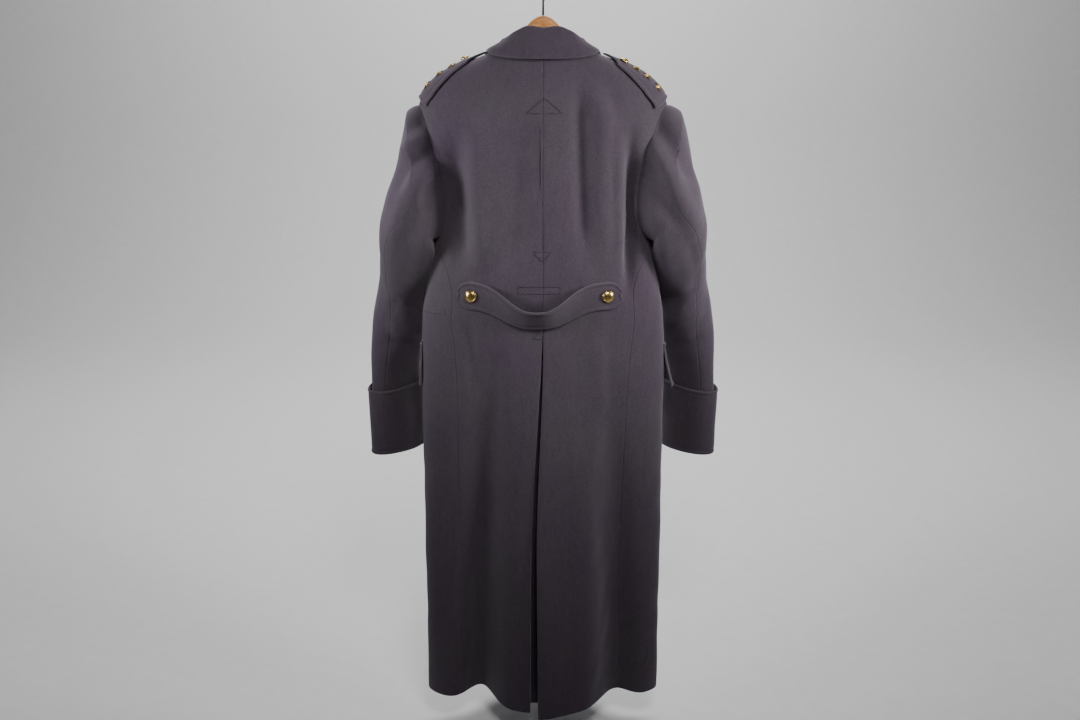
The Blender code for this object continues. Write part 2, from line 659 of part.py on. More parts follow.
def material(name, colour, roughness, metallic=0.0):
    made = bpy.data.materials.new(name)
    made.use_nodes = True
    shader = made.node_tree.nodes["Principled BSDF"]
    shader.inputs["Base Color"].default_value = (*colour, 1.0)
    shader.inputs["Roughness"].default_value = roughness
    shader.inputs["Metallic"].default_value = metallic
    return made


def add(collection, name, data, finish):
    made = bpy.data.objects.new(name, data)
    data.materials.append(finish)
    collection.objects.link(made)
    return made


def wall(collection, name, surface, grid, thickness, finish):
    """A sheet of cloth: a grid whose points the surface places, made a wall about its middle."""
    shape = bmesh.new()
    bmesh.ops.create_grid(shape, x_segments=grid[0], y_segments=grid[1], size=1.0)
    places = np.array([vert.co for vert in shape.verts])
    points = surface((places[:, 0] + 1) / 2, (places[:, 1] + 1) / 2)
    for vert, point in zip(shape.verts, points):
        vert.co = point
    mesh = bpy.data.meshes.new(name)
    shape.to_mesh(mesh)
    shape.free()
    mesh.shade_smooth()
    made = add(collection, name, mesh, finish)
    solid = made.modifiers.new("Thickness", "SOLIDIFY")
    solid.thickness = thickness
    solid.offset = 0.0
    solid.use_even_offset = True
    return made


def panel(collection, name, surface, grid, finish):
    """A panel that meets others at seams: two grids lifted off one surface, bridged round their edges."""
    shape = bmesh.new()
    for lift in (CLOTH / 2, -CLOTH / 2):
        made = bmesh.ops.create_grid(shape, x_segments=grid[0], y_segments=grid[1], size=1.0)
        places = np.array([vert.co for vert in made["verts"]])
        points = surface((places[:, 0] + 1) / 2, (places[:, 1] + 1) / 2, np.full(len(places), lift))
        for vert, point in zip(made["verts"], points):
            vert.co = point
    rims = [edge for edge in shape.edges if edge.is_boundary]
    bmesh.ops.bridge_loops(shape, edges=rims)
    bmesh.ops.recalc_face_normals(shape, faces=shape.faces)
    mesh = bpy.data.meshes.new(name)
    shape.to_mesh(mesh)
    shape.free()
    mesh.shade_smooth()
    return add(collection, name, mesh, finish)


def stand_on(made, point, outward):
    """Turns an object's Z axis to the surface's outward direction and puts it on the point."""
    made.rotation_euler = Vector(outward).to_track_quat("Z", "Y").to_euler()
    made.location = point


def seat(place):
    """Point of a surface function of a lift, and its outward direction."""
    point, above = place(np.array((0.0, CLOTH)))
    outward = above - point
    return point, outward / np.linalg.norm(outward)


def button(collection, name, size, point, outward, finish):
    """A domed button with a rim: a turned profile."""
    radius, height = size
    points = [(radius * across, 0.0, height * up) for across, up in BUTTON_DOME + BUTTON_RIM]
    edges = [(k, k + 1) for k in range(len(points) - 1)]
    mesh = bpy.data.meshes.new(name)
    mesh.from_pydata(points, edges, [])
    made = add(collection, name, mesh, finish)
    turned = made.modifiers.new("Turned", "SCREW")
    turned.steps = BUTTON_STEPS
    turned.render_steps = BUTTON_STEPS
    turned.use_merge_vertices = True
    turned.merge_threshold = MERGE
    stand_on(made, point, outward)


def rank_star(collection, name, point, outward, finish):
    """A plain four-pointed star: a cone of eight sides with every second corner drawn in."""
    shape = bmesh.new()
    bmesh.ops.create_cone(shape, cap_ends=True, segments=8, radius1=PIP_RADIUS, radius2=PIP_RADIUS * PIP_TOP,
                          depth=PIP_HEIGHT)
    for vert in shape.verts:
        quarter = math.atan2(vert.co.y, vert.co.x) / (math.pi / 4)
        if round(quarter) % 2:
            vert.co.x *= PIP_WAIST
            vert.co.y *= PIP_WAIST
        vert.co.z += PIP_HEIGHT / 2
    mesh = bpy.data.meshes.new(name)
    shape.to_mesh(mesh)
    shape.free()
    made = add(collection, name, mesh, finish)
    stand_on(made, point, outward)


def wire(collection, name, points, radius, finish, taper=None):
    curve = bpy.data.curves.new(name, "CURVE")
    curve.dimensions = "3D"
    curve.bevel_depth = radius
    curve.bevel_resolution = 2
    curve.use_fill_caps = True
    spline = curve.splines.new("POLY")
    spline.points.add(len(points) - 1)
    for k, point in enumerate(points):
        spline.points[k].co = (*point, 1.0)
        if taper is not None:
            spline.points[k].radius = taper[k]
    return add(collection, name, curve, finish)


def hanger_bar(collection, finish):
    """A wooden arch: a hump inside the collar, then arms just under the shoulder ridge."""
    x = np.linspace(-BAR_HALF_LENGTH, BAR_HALF_LENGTH, BAR_POINTS)
    shoulder = ridge_height(np.maximum(np.abs(x), BAR_SHOULDER_X)) - BAR_CLEAR
    hump = BAR_TOP + (shoulder - BAR_TOP) * ramp(np.abs(x), 0.0, BAR_SHOULDER_X)
    top = np.where(np.abs(x) < BAR_SHOULDER_X, hump, shoulder)
    taper = np.interp(BAR_HALF_LENGTH - np.abs(x), BAR_TAPER_PLACES, BAR_TAPER_SHARES)
    height = top - BAR_HALF_HEIGHT * taper
    made = wire(collection, "hanger_bar", stack(x, 0.0, height), BAR_HALF_HEIGHT, finish, taper)
    made.scale.y = BAR_DEPTH_SHARE


def hanger_hook(collection, finish):
    """A wire hook whose inside top is the origin."""
    ring = HOOK_RADIUS + HOOK_WIRE
    turns = np.radians(np.linspace(*HOOK_ARC_DEGREES, HOOK_POINTS))
    arc = stack(ring * np.cos(turns), 0.0, ring * np.sin(turns) - HOOK_RADIUS)
    foot = BAR_TOP + SEAM
    shank = np.array([(0.0, 0.0, foot), (0.0, 0.0, HOOK_SHANK_TOP)])
    bend = lerp(shank[-1], arc[0], HOOK_BEND_SHARE) + np.array((HOOK_BEND_X, 0.0, 0.0))
    wire(collection, "hanger_hook", np.concatenate((shank, bend[None], arc)), HOOK_WIRE, finish)


def make_cloth(collection, wool):
    back_rows = SHOULDER_ROWS + ARM_ROWS + SKIRT_ROWS
    underlay_rows = SKIRT_ROWS - UNDERLAY_FIRST_ROW
    wall(collection, "skirt_pleat_underlay", skirt_underlay, (UNDERLAY_COLUMNS, underlay_rows), CLOTH, wool)
    wall(collection, "collar", collar, COLLAR_GRID, CLOTH, wool)
    wall(collection, "half_belt", half_belt, BELT_GRID, BELT_CLOTH, wool)
    wall(collection, "hip_welt_left", hip_welt, WELT_GRID, WELT_CLOTH, wool)
    for side in SIDES:
        panel(collection, "back_" + side, back_half(side), (BACK_COLUMNS, back_rows), wool)
        panel(collection, "front_" + side, front(side), (FRONT_COLUMNS, ARM_ROWS + SKIRT_ROWS), wool)
        wall(collection, "lapel_" + side, lapel(side), LAPEL_GRID, CLOTH, wool)
        panel(collection, "top_sleeve_" + side, top_sleeve(side), TOP_SLEEVE_GRID, wool)
        panel(collection, "under_sleeve_" + side, under_sleeve(side), UNDER_SLEEVE_GRID, wool)
        wall(collection, "cuff_" + side, cuff(side), CUFF_GRID, CLOTH, wool)
        wall(collection, "shoulder_strap_" + side, shoulder_strap(side), STRAP_GRID, STRAP_CLOTH, wool)
        wall(collection, "pocket_flap_" + side, pocket_flap(side), FLAP_GRID, CLOTH, wool)


def make_metal(collection, gilt):
    strap_top = LAID_ON + STRAP_GAP + STRAP_CLOTH
    belt_top = BELT_CLOTH / 2 + BUTTON_GAP
    for side, sign in SIDES.items():
        def on_strap(share, gap):
            x = lerp(STRAP_OUTER_X, STRAP_INNER_X, share)
            return seat(lambda lift: shoulder_point(side, x, -STRAP_BACK[side], strap_top + gap + lift))

        strap_seat = on_strap(STRAP_BUTTON_SHARE, BUTTON_GAP)
        button(collection, "strap_button_" + side, STRAP_BUTTON, *strap_seat, gilt)
        for k, share in enumerate(PIP_SHARES):
            rank_star(collection, f"rank_star_{side}_{k + 1}", *on_strap(share, PIP_GAP), gilt)
        belt_seat = seat(lambda lift: belt_point(sign * BELT_BUTTON_X, 0.0, belt_top + lift))
        button(collection, "belt_button_" + side, BELT_BUTTON, *belt_seat, gilt)
        for k, height in enumerate(FRONT_BUTTON_HEIGHTS):
            angle = -(math.pi + sign * angle_at_x(FRONT_BUTTON_X, height))
            top = lap_out("left", angle, height) + CLOTH / 2 + FRONT_BUTTON_GAP
            front_seat = seat(lambda lift: body(angle, height, "left", top + lift))
            button(collection, f"front_button_{side}_{k + 1}", FRONT_BUTTON, *front_seat, gilt)


def main():
    for old in list(bpy.data.objects):
        bpy.data.objects.remove(old, do_unlink=True)
    collection = bpy.data.collections.new("greatcoat")
    bpy.context.scene.collection.children.link(collection)
    make_cloth(collection, material("grey_wool", (0.085, 0.072, 0.086), 0.92))
    make_metal(collection, material("gilt", (0.83, 0.62, 0.24), 0.28, 1.0))
    hanger_bar(collection, material("waxed_wood", (0.62, 0.30, 0.09), 0.45))
    hanger_hook(collection, material("dark_wire", (0.10, 0.10, 0.10), 0.40, 1.0))


main()
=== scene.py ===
"""Looks of a greatcoat hanging on a wooden hanger: fine cloth, thread, gilt, wood and wire.

Metres, +Z up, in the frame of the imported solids: the origin is where the hook rests on its rail, the coat's
back faces -Y and the wearer's right is +X. Each cloth piece is a closed shell near its solid's surface,
worked out here at a finer step from tables like the solid's own, with creases, seams and stitching added.
"""
import math

import bpy
import numpy as np
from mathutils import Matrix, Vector

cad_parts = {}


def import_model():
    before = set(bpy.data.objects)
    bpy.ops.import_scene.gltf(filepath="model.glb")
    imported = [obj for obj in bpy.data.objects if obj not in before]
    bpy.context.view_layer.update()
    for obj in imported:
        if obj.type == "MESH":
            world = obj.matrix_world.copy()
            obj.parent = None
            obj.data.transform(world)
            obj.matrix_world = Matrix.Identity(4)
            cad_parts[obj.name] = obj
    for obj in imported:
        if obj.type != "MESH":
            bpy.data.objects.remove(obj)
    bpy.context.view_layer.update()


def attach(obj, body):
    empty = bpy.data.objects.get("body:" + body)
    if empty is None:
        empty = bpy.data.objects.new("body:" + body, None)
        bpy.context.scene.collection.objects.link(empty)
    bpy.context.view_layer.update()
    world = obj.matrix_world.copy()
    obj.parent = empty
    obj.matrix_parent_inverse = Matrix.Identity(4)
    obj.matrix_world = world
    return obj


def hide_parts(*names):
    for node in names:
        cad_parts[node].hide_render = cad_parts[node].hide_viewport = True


# Cloth and seams
CLOTH = 0.0026
SEAM = 0.0003
STRAP_CLOTH = 0.0030
BELT_CLOTH = 0.0036
WELT_CLOTH = 0.0016
LAID_ON = SEAM + CLOTH / 2
NORMAL_STEP = 0.0001
SIDES = {"left": -1.0, "right": 1.0}

# Grids: faces across and down each piece, and how far the lines draw together at its edges
GRIDS = {
    "back": (104, 290), "underlay": (22, 130), "front": (104, 216), "lapel": (44, 66),
    "top_sleeve": (84, 150), "under_sleeve": (68, 150), "cuff": (170, 46), "collar": (230, 74),
    "strap": (44, 80), "belt": (180, 40), "flap": (48, 40), "welt": (50, 12),
}
TIGHT_ACROSS = 0.88
TIGHT_DOWN = 0.80
COLLAR_TIGHT = 0.3

# Body: one closed section for each height, from the hem to the neck
BODY_COLUMNS = ("height", "half_width", "middle_y", "back", "front", "squareness")
BODY_ROWS = (
    (-1.430, 0.2345, -0.020, 0.085, 0.115, 1.60),
    (-1.150, 0.2330, -0.016, 0.088, 0.112, 1.75),
    (-0.900, 0.2320, -0.010, 0.092, 0.106, 2.00),
    (-0.650, 0.2290, -0.006, 0.094, 0.100, 2.20),
    (-0.610, 0.2260, -0.005, 0.095, 0.099, 2.30),
    (-0.570, 0.2190, -0.005, 0.095, 0.099, 2.30),
    (-0.530, 0.2130, -0.004, 0.096, 0.098, 2.35),
    (-0.490, 0.2075, -0.004, 0.096, 0.098, 2.35),
    (-0.464, 0.2045, -0.003, 0.097, 0.097, 2.40),
    (-0.400, 0.2020, -0.002, 0.098, 0.096, 2.40),
    (-0.345, 0.2085, -0.001, 0.098, 0.094, 2.40),
    (-0.280, 0.2200, 0.000, 0.095, 0.093, 2.20),
    (-0.232, 0.2235, 0.000, 0.089, 0.092, 1.80),
    (-0.215, 0.2175, 0.000, 0.085, 0.088, 1.65),
    (-0.186, 0.1920, 0.000, 0.077, 0.073, 1.60),
    (-0.160, 0.1470, 0.000, 0.068, 0.057, 1.70),
    (-0.143, 0.1000, 0.000, 0.060, 0.046, 2.10),
    (-0.130, 0.0700, 0.000, 0.054, 0.036, 2.40),
)

# Folds: soft troughs (depth above 0) and ridges (below 0) that run down a face of the coat
FOLD_COLUMNS = ("face", "side", "x_top", "x_hem", "top", "full", "bottom", "width", "depth")
FOLD_ROWS = (
    ("back", "both", -0.084, -0.116, -0.560, -1.360, -2.000, 0.040, 0.084),
    ("back", "both", 0.128, 0.152, -0.560, -1.360, -2.000, 0.038, 0.050),
    ("back", "left", -0.030, -0.030, -0.700, -1.400, -2.000, 0.050, 0.012),
    ("back", "right", 0.020, 0.015, -0.700, -1.400, -2.000, 0.055, -0.014),
    ("back", "both", -0.150, -0.145, -0.260, -0.400, -0.560, 0.036, 0.005),
    ("back", "both", 0.105, 0.115, -0.200, -0.360, -0.560, 0.036, 0.006),
    ("front", "both", -0.150, -0.165, -0.600, -1.400, -2.000, 0.045, 0.030),
    ("front", "both", 0.140, 0.155, -0.600, -1.400, -2.000, 0.045, 0.034),
    ("front", "both", -0.030, -0.045, -0.700, -1.400, -2.000, 0.060, -0.012),
)
FOLD_FADE = 0.35

# Creases: each runs from a start to an end in x and z, with a bow, a width and a depth (below 0 for a ridge)
CREASE_COLUMNS = ("x_start", "z_start", "x_end", "z_end", "bow", "width", "depth")
BACK_CREASES = (
    (-0.158, -0.305, -0.148, -0.498, 0.004, 0.022, 0.0200),
    (-0.110, -0.270, -0.107, -0.494, 0.003, 0.024, -0.0130),
    (-0.030, -0.260, -0.055, -0.496, -0.004, 0.026, 0.0130),
    (0.066, -0.190, 0.075, -0.478, 0.003, 0.018, 0.0130),
    (0.105, -0.220, 0.111, -0.484, 0.002, 0.018, -0.0100),
    (0.155, -0.305, 0.156, -0.540, -0.004, 0.013, 0.0200),
    (0.133, -0.305, 0.139, -0.500, 0.002, 0.011, -0.0050),
    (-0.070, -0.175, -0.118, -0.250, 0.004, 0.020, 0.0050),
    (0.080, -0.170, 0.128, -0.235, -0.004, 0.020, 0.0050),
    (-0.133, -0.626, -0.118, -0.760, 0.003, 0.012, 0.0045),
    (-0.060, -0.656, -0.066, -0.820, 0.002, 0.016, -0.0050),
    (0.060, -0.662, 0.070, -0.840, -0.003, 0.018, 0.0045),
    (0.100, -0.636, 0.108, -0.780, 0.002, 0.013, -0.0045),
    (-0.175, -0.760, -0.180, -1.360, 0.006, 0.024, 0.0070),
    (0.080, -0.800, 0.090, -1.380, 0.006, 0.030, -0.0090),
)
FRONT_CREASES = (
    (-0.150, -0.300, -0.128, -0.520, -0.006, 0.020, 0.0060),
    (0.155, -0.310, 0.130, -0.540, 0.006, 0.020, 0.0065),
    (-0.110, -0.560, -0.126, -0.900, 0.004, 0.024, 0.0035),
    (0.118, -0.580, 0.110, -0.940, -0.004, 0.022, 0.0035),
    (0.040, -0.760, 0.052, -1.300, 0.006, 0.030, -0.0050),
    (-0.084, -0.900, -0.080, -1.360, 0.004, 0.030, 0.0060),
)
SLEEVE_CREASES = {
    "left": (
        (-0.208, -0.258, -0.246, -0.278, 0.002, 0.012, 0.0045),
        (-0.199, -0.283, -0.254, -0.313, 0.003, 0.012, -0.0040),
        (-0.198, -0.303, -0.266, -0.372, 0.004, 0.017, 0.0080),
        (-0.197, -0.322, -0.276, -0.478, 0.005, 0.018, -0.0100),
        (-0.206, -0.375, -0.232, -0.460, 0.003, 0.015, 0.0045),
        (-0.204, -0.440, -0.236, -0.560, -0.004, 0.018, -0.0070),
        (-0.236, -0.610, -0.285, -0.590, 0.004, 0.014, 0.0060),
        (-0.238, -0.655, -0.290, -0.640, -0.003, 0.014, -0.0060),
        (-0.246, -0.690, -0.300, -0.668, 0.003, 0.012, 0.0050),
    ),
    "right": (
        (0.199, -0.262, 0.268, -0.356, 0.004, 0.018, 0.0085),
        (0.197, -0.295, 0.272, -0.446, 0.004, 0.018, -0.0110),
        (0.190, -0.330, 0.230, -0.430, -0.003, 0.014, 0.0050),
        (0.196, -0.420, 0.234, -0.550, 0.003, 0.018, -0.0070),
        (0.262, -0.470, 0.286, -0.560, -0.004, 0.014, 0.0045),
        (0.232, -0.585, 0.290, -0.560, 0.004, 0.014, 0.0055),
        (0.240, -0.632, 0.300, -0.610, -0.003, 0.013, -0.0055),
        (0.256, -0.680, 0.306, -0.660, 0.003, 0.012, 0.0045),
    ),
}
CREASE_ENDS = 0.22
CREASE_FADE = 0.014
CREASE_FORE_SHARE = 0.35
FACING_FULL = 0.5
ARMHOLE_POINTS = 90
RIPPLE_COLUMNS = ("per_metre_x", "per_metre_z", "height")
RIPPLES = ((52.0, 21.0, 0.00050), (-31.0, 64.0, 0.00035), (88.0, -37.0, 0.00022))
RIPPLE_WAVER = 0.37
PUCKER_STEP = 0.0125
PUCKER_WAVER = 2.0
PUCKER_WAVER_RATE = 41.0
PUCKER_HEIGHT = 0.00022
PUCKER_REACH = 0.007

# Centre back and hem
HEM_SIDE = -1.391
HEM_CENTRE_DROP = 0.022
HEM_SEAM_ANGLE = math.pi / 4
LEAN_HEM = -0.018
LEAN_TOP = -0.600
LEAN_FULL = -1.100
PLEAT_TOP = -0.630
PLEAT_SLIT = 0.015
PLEAT_OPENING = 0.6
RETURN_SEAM = 0.006
RETURN_SKIRT = 0.034
RETURN_SHARE = 1 / 6
RETURN_FULL = 0.12
FOLD_ROUND = 0.011
SEAM_PRESSED = 0.0009
UNDERLAY_HALF_WIDTH = 0.045
UNDERLAY_FIRST = 0.24
UNDERLAY_GAP = 0.0008
NECK_BACK = -0.146

# Armholes, shoulders and side seams
SHOULDER_TIP = -0.232
NECK_POINT = -0.130
ARM_JOIN = -0.464
ARM_JOIN_ANGLE = math.radians(72)
ARM_BACK_DEGREES = {"left": 20.0, "right": 27.0}
ARM_FRONT_DEGREES = 40.0
ARM_BACK_FULLNESS = 0.6
ARM_FRONT_FULLNESS = 1.0
SEAM_COLUMNS = ("height", "degrees")
SEAM_ROWS = ((-1.430, 48.0), (-0.770, 42.0), (-0.570, 46.0), (-0.530, 51.0), (-0.495, 61.0), (-0.464, 72.0))
SEAM_ANGLE = -0.0014
ARM_SPACING = 1.5
ARM_GAP = 0.0010
ARM_OUT = (0.95, 0.0, 0.30)
BACK_SHARES = (0.12, 0.34)
FRONT_ARM_SHARE = 0.25

# Fronts and lapels
OVERLAP_X = 0.095
BREAK_HEIGHT = -0.400
BREAK_X = 0.006
ROLL_X = 0.070
LAP = CLOTH / 2 + 0.0012
LAP_TOP = -0.330
LAP_BOTTOM = -0.440
LAP_START = math.radians(100)
LAP_FULL = math.radians(140)
EDGE_TURN = 0.0635
LAPEL_TOP_SHARE = 0.37
LAPEL_BOTTOM_SHARE = 0.985
LAPEL_GAP = 0.0010
LAPEL_LIFT = 0.004
LAPEL_COLUMNS = ("share", "width", "rise")
LAPEL_ROWS = ((0.0, 0.070, 0.020), (0.12, 0.088, 0.026), (0.5, 0.062, 0.012), (1.0, 0.006, 0.000))

# Collar: stations from the centre back to the front end
COLLAR_COLUMNS = ("share", "base_degrees", "base_z", "roll_z", "leaf_degrees", "leaf_z")
COLLAR_ROWS = (
    (0.00, 0.0, -0.1455, -0.1020, 0.0, -0.1570),
    (0.09, 13.5, -0.1450, -0.0985, 13.5, -0.1565),
    (0.17, 25.5, -0.1435, -0.1055, 25.5, -0.1550),
    (0.30, 45.0, -0.1405, -0.1180, 45.0, -0.1505),
    (0.60, 90.0, -0.1290, -0.1235, 90.0, -0.1420),
    (0.80, 151.0, -0.1490, -0.1370, 138.0, -0.1600),
    (1.00, 165.5, -0.1780, -0.1690, 153.0, -0.1960),
)
COLLAR_ROLL_OUTS = (-0.004, 0.0065)
COLLAR_ROLL_RADIUS = 0.0034
COLLAR_LIFT = 0.0004
COLLAR_LEAF_OUT = 0.0075
COLLAR_BASE_SHARES = (0.985, 0.860)
COLLAR_BELLY = 0.004
COLLAR_BELLY_SHARE = 0.55
COLLAR_FORWARD = (0.5, 0.8)
COLLAR_KNOTS = (0.0, 0.4, 0.5, 0.6, 0.8, 1.0)

# Sleeves: the outer and inner ends of each ring, and half its depth across them
SLEEVE_COLUMNS = ("along", "outer_x", "outer_y", "outer_z", "inner_x", "inner_y", "inner_z", "half_depth")
SLEEVE_ROWS = (
    (0.00, 0.2440, 0.000, -0.230, 0.2050, -0.040, -0.461, 0.068),
    (0.12, 0.2580, -0.006, -0.272, 0.2050, -0.044, -0.464, 0.065),
    (0.25, 0.2710, -0.012, -0.338, 0.2040, -0.046, -0.484, 0.060),
    (0.38, 0.2840, -0.008, -0.402, 0.2090, -0.030, -0.518, 0.060),
    (0.50, 0.2970, 0.006, -0.478, 0.2170, 0.006, -0.560, 0.060),
    (0.62, 0.3120, 0.018, -0.556, 0.2310, 0.046, -0.608, 0.056),
    (0.74, 0.3210, 0.016, -0.640, 0.2470, 0.078, -0.662, 0.047),
    (0.86, 0.3260, 0.010, -0.745, 0.2580, 0.100, -0.750, 0.032),
    (1.00, 0.3300, 0.010, -0.900, 0.2500, 0.104, -0.900, 0.030),
)
HEAD_DRAWN_IN = {"left": 0.008, "right": 0.0}
HEAD_AT = 0.20
HEAD_LENGTH = 0.15
AXIS_STEP = 0.01
ACROSS_TURNS = (0.08, 0.45)
SLEEVE_BLENDS = (0.04, 0.20)
HIND_COLUMNS = ("along", "degrees")
HIND_ROWS = (
    (0.0, 92.0), (0.12, 98.0), (0.25, 97.0), (0.38, 86.0),
    (0.5, 71.0), (0.62, 56.0), (0.8, 38.0), (1.0, 28.0),
)
FORE_SEAM = math.radians(-112.5)
SLEEVE_SEAM = -0.0050
SLEEVE_TUCK = 0.008
SLEEVE_END = 0.995
CUFF_TOP = 0.884
CUFF_TILT = 0.016
CUFF_OUT_TOP = 0.0085
CUFF_OUT_BOTTOM = CLOTH + SEAM + 0.0006
CUFF_SEAM = math.radians(150)
CUFF_FLARE = 0.7

# Straps, belt, flaps and welt
STRAP_OUTER_X = 0.2195
STRAP_INNER_X = 0.0985
STRAP_HALF_WIDTH = (0.025, 0.018)
STRAP_POINT = 0.82
STRAP_TIP = 0.25
STRAP_GAP = 0.0015
STRAP_BACK = {"left": 0.006, "right": 0.014}
STRAP_FALL = 0.55
STRAP_RIDGE = 0.006
STRAP_BUTTON_SHARE = 0.704
PIP_SHARES = (0.123, 0.308, 0.493)
BELT_CENTRE_X = -0.0065
BELT_HALF_LENGTH = 0.1485
BELT_HALF_WIDTH = 0.0255
BELT_HEIGHT = -0.5640
BELT_SAG = 0.0400
BELT_BOW = 0.0200
BELT_TILT = math.radians(44)
BELT_SAG_X = -0.0050
BELT_SAG_WIDTH = 0.068
BELT_SAG_POWER = 2.6
BELT_GAP = 0.0006
BELT_ROUND = 0.84
BELT_END = 0.985
BELT_BUTTON_X = 0.1220
BUTTON_GAP = 0.0009
FLAP_DEGREES = (80.0, 124.0)
FLAP_TOP = -0.668
FLAP_DEPTH = 0.084
FLAP_BEND = 1.5
FLAP_STAND_OFF = {"left": 0.004, "right": 0.017}
WELT_DEGREES = (50.0, 79.0)
WELT_HEIGHT = -0.5985
WELT_HALF_HEIGHT = 0.0055
WELT_GAP = -0.0006

# Edges: how far they are rounded, the bead of a turned edge and the groove of its stitching
EDGE_ROUND = 0.0030
TURNED_ROUND = 0.0026
BEAD_AT = 0.0036
BEAD_WIDTH = 0.0028
BEAD_HEIGHT = 0.0008
STITCH_AT = 0.0080
STITCH_GROOVE_WIDTH = 0.0014
STITCH_GROOVE = 0.0008

# Thread
STITCH_LENGTH = 0.0042
STITCH_SHARE = 0.72
THREAD_RADIUS = 0.00055
THREAD_RISE = 1.2
THREAD_SINK = 0.0009
THREAD_DIP = 0.3
THREAD_POINTS = 9
THREAD_SIDES = 6
TUBE_STEEP = 0.9

# Tacks at the centre back: runs of thread from a start to an end in x and z
TACK_FACING = -0.5
TACK_POINTS = 24
TACK_COLUMNS = ("x_start", "z_start", "x_end", "z_end")
TACK_ROWS = (
    (0.0015, -0.2190, -0.0280, -0.2440),
    (0.0015, -0.2190, 0.0320, -0.2440),
    (-0.0290, -0.2450, -0.0020, -0.2450),
    (0.0030, -0.2450, 0.0330, -0.2450),
    (-0.0190, -0.4836, 0.0150, -0.4836),
    (-0.0160, -0.4870, -0.0020, -0.5015),
    (0.0120, -0.4870, -0.0015, -0.5015),
    (-0.0450, -0.5465, 0.0300, -0.5465),
    (-0.0450, -0.5590, 0.0300, -0.5590),
    (-0.0450, -0.5470, -0.0450, -0.5590),
    (0.0300, -0.5470, 0.0300, -0.5590),
    (-0.0180, -0.6420, -0.0075, -0.6290),
    (0.0030, -0.6420, -0.0070, -0.6290),
    (-0.0170, -0.6425, 0.0020, -0.6425),
)

# Buttons and rank stars: radius and height of each size
STRAP_BUTTON = (0.0082, 0.0052)
BELT_BUTTON = (0.0112, 0.0066)
FRONT_BUTTON = (0.0120, 0.0070)
FRONT_BUTTON_GAP = 0.0004
FRONT_BUTTON_X = 0.068
FRONT_BUTTON_HEIGHTS = (-0.530, -0.650, -0.770, -0.890)
BUTTON_COLUMNS = ("across", "up")
BUTTON_ROWS = (
    (0.00, 1.000), (0.20, 0.985), (0.42, 0.930), (0.60, 0.840), (0.74, 0.715), (0.80, 0.630), (0.83, 0.585),
    (0.86, 0.600), (0.90, 0.600), (0.94, 0.540), (0.98, 0.420), (1.00, 0.310), (0.99, 0.200), (0.94, 0.100),
    (0.84, 0.020), (0.70, 0.000), (0.00, 0.000),
)
BUTTON_FINE = 3
BUTTON_TURNS = 56
PIP_GAP = 0.0004
PIP_RADIUS = 0.0095
PIP_WAIST = 0.42
PIP_SHARPNESS = 1.6
PIP_WALL = 0.22
PIP_CONE = 0.62
PIP_BOSS = 0.30
PIP_BOSS_RADIUS = 0.0019
PIP_HEIGHT = 0.0034
PIP_RINGS = 22
PIP_TURNS = 96

# Hanger
BAR_HALF_LENGTH = 0.196
BAR_HALF_HEIGHT = 0.0105
BAR_DEPTH_SHARE = 0.72
BAR_TOP = -0.0760
BAR_SHOULDER_X = 0.066
BAR_CLEAR = 0.0054
BAR_POINTS = 161
BAR_SIDES = 40
BAR_TAPER_PLACES = (0.0, 0.006, 0.020)
BAR_TAPER_SHARES = (0.30, 0.80, 1.0)
BAR_SQUARENESS = 2.6
HOOK_RADIUS = 0.020
HOOK_WIRE = 0.0019
HOOK_SHANK_TOP = -0.052
HOOK_ARC_DEGREES = (-48.0, 205.0)
HOOK_BEND_SHARE = 0.5
HOOK_BEND_X = -0.0015
HOOK_POINTS = 60
HOOK_SIDES = 18

# Finishes: specks (how rare, size, strength), rubbed edges (width, share) and the range of a metal's gloss
SPECK_RARE = 0.955
SPECK_SIZE = 0.022
SPECK_STRENGTH = 0.45
RUBBED_WIDTH = 0.0035
RUBBED_SHARE = 0.16
GLOSS_SPREAD = (0.7, 1.5)
METAL_COLUMNS = ("name", "light", "dark", "roughness")
METAL_ROWS = (
    ("gilt", (0.86, 0.63, 0.24), (0.52, 0.33, 0.09), 0.22),
    ("dull_gilt", (0.52, 0.36, 0.14), (0.20, 0.12, 0.05), 0.34),
    ("dark_wire", (0.12, 0.12, 0.12), (0.05, 0.05, 0.05), 0.36),
)

# Camera, light and stage
EYE = (-0.0055, -1.87, -0.24)
EYE_TILT = math.radians(76)
EYE_LENS = 33.333
EYE_SENSOR = 36.0
FLOOR_HEIGHT = -1.475
COVE_FRONT = -4.0
COVE_BACK = 3.2
COVE_RADIUS = 1.2
COVE_TOP = 3.4
COVE_HALF_WIDTH = 5.0
COVE_POINTS = 24
COVE_LINES = 12
LIGHT_COLUMNS = ("name", "place", "aim", "size", "spread", "power", "colour")
LIGHT_ROWS = (
    ("right", (1.45, -0.60, -0.10), (0.12, 0.0, -0.34), 0.5, 54.0, 3.4, (1.0, 0.98, 0.98)),
    ("left", (-1.45, -0.60, -0.10), (-0.18, 0.0, -0.34), 0.5, 48.0, 2.4, (0.98, 0.98, 1.0)),
    ("behind", (0.25, -1.45, 0.62), (0.06, -0.05, -0.78), 0.5, 50.0, 1.9, (1.0, 0.99, 0.98)),
    ("stage", (0.0, 1.6, 2.2), (0.0, 3.4, -0.6), 2.4, 180.0, 150.0, (1.0, 1.0, 1.0)),
)
WORLD_COLOUR = (0.93, 0.93, 0.95)
WORLD_STRENGTH = 0.03


def column(rows, columns, name):
    """One named column of a table, as an array."""
    return np.array([row[columns.index(name)] for row in rows])


def named(rows, columns):
    """Each row of a table, with its values under their columns' names."""
    return [dict(zip(columns, row)) for row in rows]


